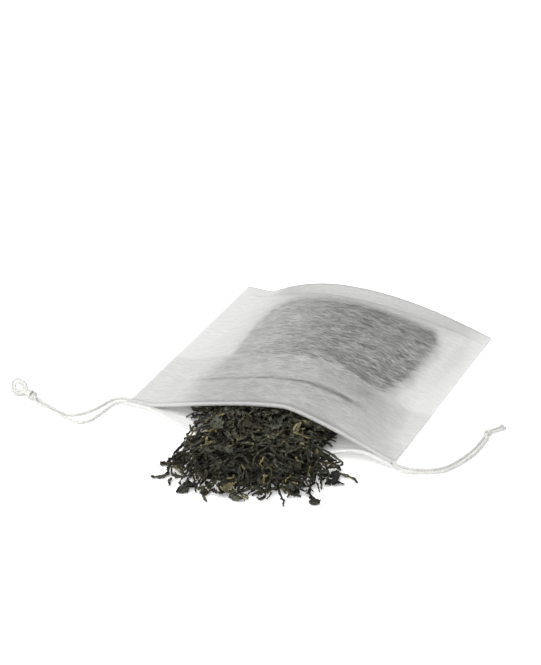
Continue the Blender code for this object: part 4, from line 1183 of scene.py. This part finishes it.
class Pile:
    """Height map of what the leaves fall on."""

    def __init__(self, low, high, cell):
        self.low = np.array(low)
        self.cell = cell
        self.count = np.ceil((np.array(high) - self.low) / cell).astype(int) + 1
        xs = self.low[0] + cell * np.arange(self.count[0])
        ys = self.low[1] + cell * np.arange(self.count[1])
        self.x, self.y = np.meshgrid(xs, ys)
        self.height = np.zeros_like(self.x)

    def cells(self, x, y):
        """Row and column of each place."""
        column = np.clip(np.rint((x - self.low[0]) / self.cell).astype(int), 0, self.count[0] - 1)
        row = np.clip(np.rint((y - self.low[1]) / self.cell).astype(int), 0, self.count[1] - 1)
        return row, column

    def rest(self, leaf, sink=0.0):
        """Lay a leaf down as a stiff piece on what is under it."""
        along = np.gradient(leaf.line[:, :2], axis=0)
        along /= np.linalg.norm(along, axis=1)[:, None] + 1e-12
        side = np.stack([along[:, 1], -along[:, 0]], -1)
        reach = np.abs(leaf.across).max(axis=1)
        under = np.full(len(leaf.line), -1.0)
        for share in (-0.8, 0, 0.8):
            place = leaf.line[:, :2] + side * (reach * share)[:, None]
            under = np.maximum(under, self.height[self.cells(place[:, 0], place[:, 1])])
        needed = under - leaf.up.min(axis=1) - leaf.bow
        s = np.linspace(-1, 1, len(needed))
        left, right = np.meshgrid(np.flatnonzero(s < 0), np.flatnonzero(s > 0), indexing="ij")
        slope = (needed[right] - needed[left]) / (s[right] - s[left])
        middle = needed[left] - slope * s[left]
        # The pair of stations that holds the middle highest is what the stiff leaf rests on
        best = np.unravel_index(np.argmax(middle), middle.shape)
        height = middle[best] + slope[best] * s + leaf.bow
        leaf.line[:, 2] = height - sink
        low = (leaf.line[:, 2] + leaf.up.min(axis=1)).min()
        leaf.line[:, 2] += max(0.03 * MM - low, 0)

    def cover(self, leaf):
        """Raise the map where a leaf lies."""
        rings = leaf.rings()
        for ring in (rings, 0.5 * (rings[:-1] + rings[1:])):
            row, column = self.cells(ring[..., 0], ring[..., 1])
            under = self.height[row, column]
            rise = (ring[..., 2] - under).clip(0) * LEAF_SOLIDITY
            np.maximum.at(self.height, (row, column), under + rise)


def outline_share(x, y, outline, centre):
    """How far out each place lies between the heap's centre (0) and its outline (1)."""
    around = np.arctan2(outline[:, 1] - centre[1], outline[:, 0] - centre[0])
    reach = np.hypot(outline[:, 0] - centre[0], outline[:, 1] - centre[1])
    order = np.argsort(around)
    angle = np.arctan2(y - centre[1], x - centre[0])
    limit = np.interp(angle, around[order], reach[order], period=2 * math.pi)
    return np.hypot(x - centre[0], y - centre[1]) / limit


def heap_target(shape, tea, y, share):
    """Height of the heap: highest at the mouth, falling to its front and edges."""
    depth = np.clip((shape.mouth - y) / HEAP_REACH, 0, 1)
    crest = tea.heap_height + (tea.front_height - tea.heap_height) * depth ** 1.4
    return crest * np.clip(1 - share ** 2.6, 0, 1) ** 0.75


def heap_floor(shape, pile):
    """Height of what the heap stands on: the table, and the lower lip with its channel."""
    lip = shape.mouth - shape.lip_reach(pile.x)
    on_channel = np.abs(pile.y - lip) < 1.1 * MM
    on_paper = pile.y > lip
    floor = np.where(on_paper, 0.7 * MM, 0) + np.where(on_channel, 1.5 * MM, 0)
    return floor + shape.mouth_lift(pile.x, np.full_like(pile.x, shape.mouth)) * on_paper


class OBJECT_OT_tea_bag_heap(bpy.types.Operator):
    """Drop the spilled leaves one by one into a heap in front of the mouth"""
    bl_idname = "object.tea_bag_heap"
    bl_label = "Spilled Heap of Leaves"

    def execute(self, context):
        shape = BagShape(context.scene.tea_bag_paper)
        tea = context.scene.tea_bag_tea
        finish = shared_finish("dry_tea_leaf", make_leaf_finish, tea)
        outline = smooth_line([(x, y + shape.mouth, 0) for x, y in HEAP_OUTLINE], 2 * MM, closed=True)[:-1]
        centre = np.array((HEAP_CENTRE[0], HEAP_CENTRE[1] + shape.mouth))
        pile = Pile(PILE_LOW, PILE_HIGH, PILE_CELL)
        share = outline_share(pile.x, pile.y, outline, centre)
        target = heap_target(shape, tea, pile.y, share)
        roof = shape.roof(pile.x, np.maximum(pile.y, shape.mouth + shape.channel)) - ROOF_CLEARANCE
        under_paper = pile.y > shape.mouth - 1.0 * MM
        target = np.where(under_paper, np.minimum(target, roof - 1.0 * MM), target)
        floor = heap_floor(shape, pile)
        fall = np.clip((CORE_EDGE - share) / CORE_FALL, 0, 1)
        core = np.where(share < CORE_REACH, target * fall - CORE_DEPTH, 0)
        pile.height = np.maximum(floor, core)
        self.make_core(pile, core, floor, finish)

        chance = random.Random(23)
        leaves = MeshParts()
        limit = np.where(under_paper, roof, np.maximum(target, LEAST_HEIGHT) + ROOM_ABOVE)

        def lay(leaf):
            """Lay down a leaf whose place is given."""
            pile.rest(leaf, LAID_SINK)
            pile.cover(leaf)
            leaves.add_tube(leaf.rings(), leaf.place, leaf.tone)

        for x, y, heading, length, kind in EDGE_LEAVES:
            lay(Leaf(chance, x, y + shape.mouth, kind, math.radians(heading), length * MM))
        placed = tries = 0
        while placed < tea.heap_leaves and tries < HEAP_TRIES:
            tries += 1
            place = self.lowest_place(chance, pile, target)
            if place is None:
                continue
            leaf = Leaf(chance, *place, sides=5)
            reach = outline_share(leaf.line[:, 0], leaf.line[:, 1], outline, centre)
            if reach.max() > OUTERMOST or (reach.max() > OUTER and chance.random() < 0.5):
                continue
            pile.rest(leaf, DROPPED_SINK)
            rings = leaf.rings()
            row, column = pile.cells(rings[..., 0], rings[..., 1])
            too_high = (rings[..., 2] > limit[row, column]).any()
            too_steep = np.ptp(leaf.line[:, 2]) > 0.6 * line_length(leaf.line)
            if too_high or too_steep or rings[..., 1].max() > FARTHEST_BACK:
                continue
            pile.cover(leaf)
            # Painted light and shade: leaves near the mouth, on the top of the heap, are painted paler and
            # those at its front darker
            depth = min(max((shape.mouth - leaf.line[:, 1].mean()) / (38 * MM), 0), 1)
            paleness_and_painted_light = leaf.tone[0] * (PAINTED_LIGHT_AT_MOUTH - PAINTED_SHADE_TO_FRONT * depth)
            leaves.add_tube(rings, leaf.place, (paleness_and_painted_light, *leaf.tone[1:]))
            placed += 1
        for x, y, heading, length, width, tone in TOP_FLAKES:
            size = length * MM, width * MM
            lay(Leaf(chance, x, y + shape.mouth, FLAKE, math.radians(heading), *size, tone))
        heap = leaves.build("spilled_tea_leaves", finish, with_tones=True)
        names = [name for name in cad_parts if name.startswith("tea_leaf_")]
        settle(heap, "dried_tea", "tea_heap", *names)
        return {"FINISHED"}

    def lowest_place(self, chance, pile, target):
        """Of a few places chosen by chance, the one where the heap lacks most, or None."""
        rows, columns = target.shape
        best = None
        for _ in range(PLACES_PER_LEAF):
            row, column = chance.randrange(rows), chance.randrange(columns)
            if target[row, column] <= 0.2 * MM:
                continue
            lack = target[row, column] - pile.height[row, column]
            if best is None or lack > best[0]:
                best = (lack, pile.x[row, column], pile.y[row, column])
        if best is None or best[0] < -1.2 * MM:
            return None
        return best[1:]

    def make_core(self, pile, core, floor, finish):
        """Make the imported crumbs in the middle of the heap, which the leaves lie on."""
        step = 3
        z = core[::step, ::step]
        x, y = pile.x[::step, ::step], pile.y[::step, ::step]
        uneven = ripples(5, 2 * MM, 6 * MM, 20)
        z = z + 0.5 * MM * uneven(x, y)
        solid = z > floor[::step, ::step] + 0.2 * MM
        parts = MeshParts()
        n, m = z.shape
        keep = solid[:-1, :-1] & solid[1:, :-1] & solid[:-1, 1:] & solid[1:, 1:]
        quads = grid_quads(n, m)[keep]
        points = np.stack([x, y, np.maximum(z, 0.05 * MM)], -1).reshape(-1, 3)
        used = np.unique(quads)
        renumber = np.zeros(n * m, int)
        renumber[used] = np.arange(len(used))
        parts.points.append(points[used])
        parts.places.append(points[used][:, :2])
        parts.tones.append(np.tile((0.05, 0.0, 0.3), (len(used), 1)))
        parts.faces = renumber[quads].tolist()
        parts.count = len(used)
        packed = parts.build("packed_tea_in_heap", finish, with_tones=True)
        settle(packed, "dried_tea", "tea_heap")


class OBJECT_OT_tea_bag_fill(bpy.types.Operator):
    """Fill the bag with leaves that press against the paper and show through it"""
    bl_idname = "object.tea_bag_fill"
    bl_label = "Tea in the Bag"

    def execute(self, context):
        shape = BagShape(context.scene.tea_bag_paper)
        tea = context.scene.tea_bag_tea
        finish = shared_finish("dry_tea_leaf", make_leaf_finish, tea)
        bed = self.make_bed(shape)
        settle(bed.build("packed_tea_in_bag", finish, with_tones=True), "dried_tea", "tea_in_bag")

        front, back, limits = shape.tea_front, shape.tea_back, shape.tea_limits
        chance = random.Random(41)
        leaves = MeshParts()
        placed = tries = 0
        while placed < tea.bag_leaves and tries < BAG_TRIES:
            tries += 1
            y = front - 1 * MM + (back - front + 1 * MM) * chance.random() ** 1.15
            x = chance.uniform(*limits(y))
            leaf = Leaf(chance, x, y, stations=8, sides=4)
            ends = leaf.line
            if ends[:, 1].max() > back + 1 * MM or ends[:, 1].min() < front - 2.5 * MM:
                continue
            low, high = limits(ends[:, 1])
            if (ends[:, 0] < low - 1 * MM).any() or (ends[:, 0] > high + 1 * MM).any():
                continue
            height = self.under_sheet(shape, chance, leaf)
            if height is None:
                continue
            leaf.line[:, 2] = height
            leaves.add_tube(leaf.rings(), leaf.place, leaf.tone)
            placed += 1
        settle(leaves.build("tea_leaves_in_bag", finish, with_tones=True), "dried_tea", "tea_in_bag")
        return {"FINISHED"}

    def make_bed(self, shape):
        """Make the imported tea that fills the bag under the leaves."""
        front, back = shape.tea_front, shape.tea_back
        tops = ripples(12, 4 * MM, 14 * MM, 18)
        s = np.linspace(-1, 1, 49)
        rings = []
        for y in np.linspace(front + 4 * MM, back - 0.6 * MM, 60):
            low, high = shape.tea_limits(y)
            inset = 1.0 * MM + 3 * MM * np.clip((front + 18 * MM - y) / (18 * MM), 0, 1)
            x = (low + high) / 2 + ((high - low) / 2 - inset) * s
            row = np.full_like(x, y)
            base = shape.under(x, row) + 0.8 * MM
            edge = np.sqrt(np.clip(1 - s ** 8, 0, 1))
            rear = math.sqrt(max(1 - max((y - front) / (back - front), 0) ** 14, 0))
            top = base + (shape.roof(x, row) - 0.95 * MM + 0.25 * MM * tops(x, row) - base) * edge * rear
            rings.append(np.concatenate([np.stack([x, row, np.maximum(top, base + 0.05 * MM)], -1),
                                         np.stack([x[::-1], row, base[::-1]], -1)]))
        rings = np.array(rings)
        bed = MeshParts()
        bed.add_tube(rings, rings[..., :2], (0.05, 0.0, 0.6))
        return bed

    def under_sheet(self, shape, chance, leaf):
        """Heights at which a leaf lies along the upper sheet from below, or None where it has no room."""
        leaf.line[:, 2] = 0
        rings = leaf.rings()
        x, y, z = rings[..., 0], rings[..., 1], rings[..., 2]
        low, high = shape.tea_limits(y)
        inside = np.minimum(np.minimum(x - low, high - x), shape.tea_back - y)
        gap = np.where(y < shape.mouth + shape.hem + 1 * MM, HEM_CLEARANCE, SHEET_CLEARANCE)
        gap = gap + 1.2 * MM * (1 - smooth_step(inside / (4 * MM)))
        free = (shape.crumpled(x, y) - gap - z).min(axis=1)
        floor = (shape.under(x, y) + 0.6 * MM - z).max(axis=1)
        eased = 0.5 * free + 0.25 * (np.append(free[1:], free[-1]) + np.append(free[0], free[:-1]))
        highest = eased - max((eased - free).max(), 0)
        height = highest - chance.uniform(0.0, 1.0) ** 2 * 1.0 * MM
        lowest = floor - 0.3 * MM
        if (height < lowest).any():
            height = highest
        return None if (height < lowest).any() else height


# Stage

class OBJECT_OT_tea_bag_stage(bpy.types.Operator):
    """Set the white table, the soft studio light and the camera"""
    bl_idname = "object.tea_bag_stage"
    bl_label = "Table, Light and Camera"

    def execute(self, context):
        stage = context.scene.tea_bag_stage
        half, level = stage.floor / 2, -0.2 * MM
        corners = [(x * half, y * half, level) for x, y in ((-1, -1), (1, -1), (1, 1), (-1, 1))]
        mesh = bpy.data.meshes.new("table_top")
        mesh.from_pydata(corners, [], [(0, 1, 2, 3)])
        mesh.materials.append(make_floor_finish())
        table = bpy.data.objects.new("table_top", mesh)
        context.scene.collection.objects.link(table)

        world = bpy.data.worlds.new("studio_room")
        world.use_nodes = True
        tree = world.node_tree
        tree.nodes["Background"].inputs["Color"].default_value = (1.0, 1.0, 1.0, 1.0)
        # The room is brighter in front of the bag than behind it
        direction = tree.nodes.new("ShaderNodeTexCoord")
        split = tree.nodes.new("ShaderNodeSeparateXYZ")
        fade = tree.nodes.new("ShaderNodeMapRange")
        for name, value in (("From Min", -0.3), ("From Max", 0.8), ("To Min", 1.4 * stage.fill),
                            ("To Max", 0.5 * stage.fill)):
            fade.inputs[name].default_value = value
        tree.links.new(direction.outputs["Generated"], split.inputs[0])
        tree.links.new(split.outputs["Y"], fade.inputs["Value"])
        tree.links.new(fade.outputs[0], tree.nodes["Background"].inputs["Strength"])
        context.scene.world = world
        for name, place, size, share in SOFTBOXES:
            light = bpy.data.lights.new(name, "AREA")
            light.shape = "SQUARE"
            light.size = size
            light.energy = share * stage.key
            lamp = bpy.data.objects.new(name, light)
            lamp.location = place
            lamp.rotation_euler = (-Vector(place)).to_track_quat("-Z", "Y").to_euler()
            context.scene.collection.objects.link(lamp)

        lens = bpy.data.cameras.new("studio_camera")
        lens.sensor_width = SENSOR_WIDTH
        lens.sensor_fit = "AUTO"
        lens.lens = FOCAL_LENGTH
        lens.shift_x = SHIFT_RIGHT
        lens.shift_y = SHIFT_UP
        lens.clip_start = 0.01
        camera = bpy.data.objects.new("studio_camera", lens)
        away = math.cos(stage.elevation) * stage.distance
        camera.location = (math.sin(stage.azimuth) * away, -math.cos(stage.azimuth) * away,
                           math.sin(stage.elevation) * stage.distance)
        camera.rotation_euler = (-camera.location).to_track_quat("-Z", "Y").to_euler()
        context.scene.collection.objects.link(camera)
        context.scene.camera = camera
        context.scene.view_settings.view_transform = "Standard"
        return {"FINISHED"}


class VIEW3D_PT_tea_bag(bpy.types.Panel):
    """Pieces of the tea bag and their settings"""
    bl_idname = "VIEW3D_PT_tea_bag"
    bl_label = "Tea Bag"
    bl_space_type = "VIEW_3D"
    bl_region_type = "UI"
    bl_category = "Tea Bag"

    def draw(self, context):
        scene = context.scene
        groups = ((scene.tea_bag_paper, ("object.tea_bag_paper",)),
                  (scene.tea_bag_string, ("object.tea_bag_string", "object.tea_bag_knots")),
                  (scene.tea_bag_tea, ("object.tea_bag_fill", "object.tea_bag_heap")),
                  (scene.tea_bag_stage, ("object.tea_bag_stage",)))
        for settings, operators in groups:
            box = self.layout.box()
            for key in settings.__annotations__:
                box.prop(settings, key)
            for operator in operators:
                box.operator(operator)


CLASSES = (PaperSettings, StringSettings, TeaSettings, StageSettings, OBJECT_OT_tea_bag_stage,
           OBJECT_OT_tea_bag_string, OBJECT_OT_tea_bag_knots, OBJECT_OT_tea_bag_paper,
           OBJECT_OT_tea_bag_fill, OBJECT_OT_tea_bag_heap, VIEW3D_PT_tea_bag)


def register():
    """Register the classes and their settings."""
    for item in CLASSES:
        bpy.utils.register_class(item)
    bpy.types.Scene.tea_bag_paper = bpy.props.PointerProperty(type=PaperSettings)
    bpy.types.Scene.tea_bag_string = bpy.props.PointerProperty(type=StringSettings)
    bpy.types.Scene.tea_bag_tea = bpy.props.PointerProperty(type=TeaSettings)
    bpy.types.Scene.tea_bag_stage = bpy.props.PointerProperty(type=StageSettings)


def unregister():
    """Take the settings and classes away."""
    del bpy.types.Scene.tea_bag_stage
    del bpy.types.Scene.tea_bag_tea
    del bpy.types.Scene.tea_bag_string
    del bpy.types.Scene.tea_bag_paper
    for item in reversed(CLASSES):
        bpy.utils.unregister_class(item)


def main():
    """Build every piece."""
    register()
    bpy.ops.object.tea_bag_stage()
    bpy.ops.object.tea_bag_string()
    bpy.ops.object.tea_bag_knots()
    bpy.ops.object.tea_bag_paper()
    bpy.ops.object.tea_bag_fill()
    bpy.ops.object.tea_bag_heap()


if __name__ == "__main__":
    main()
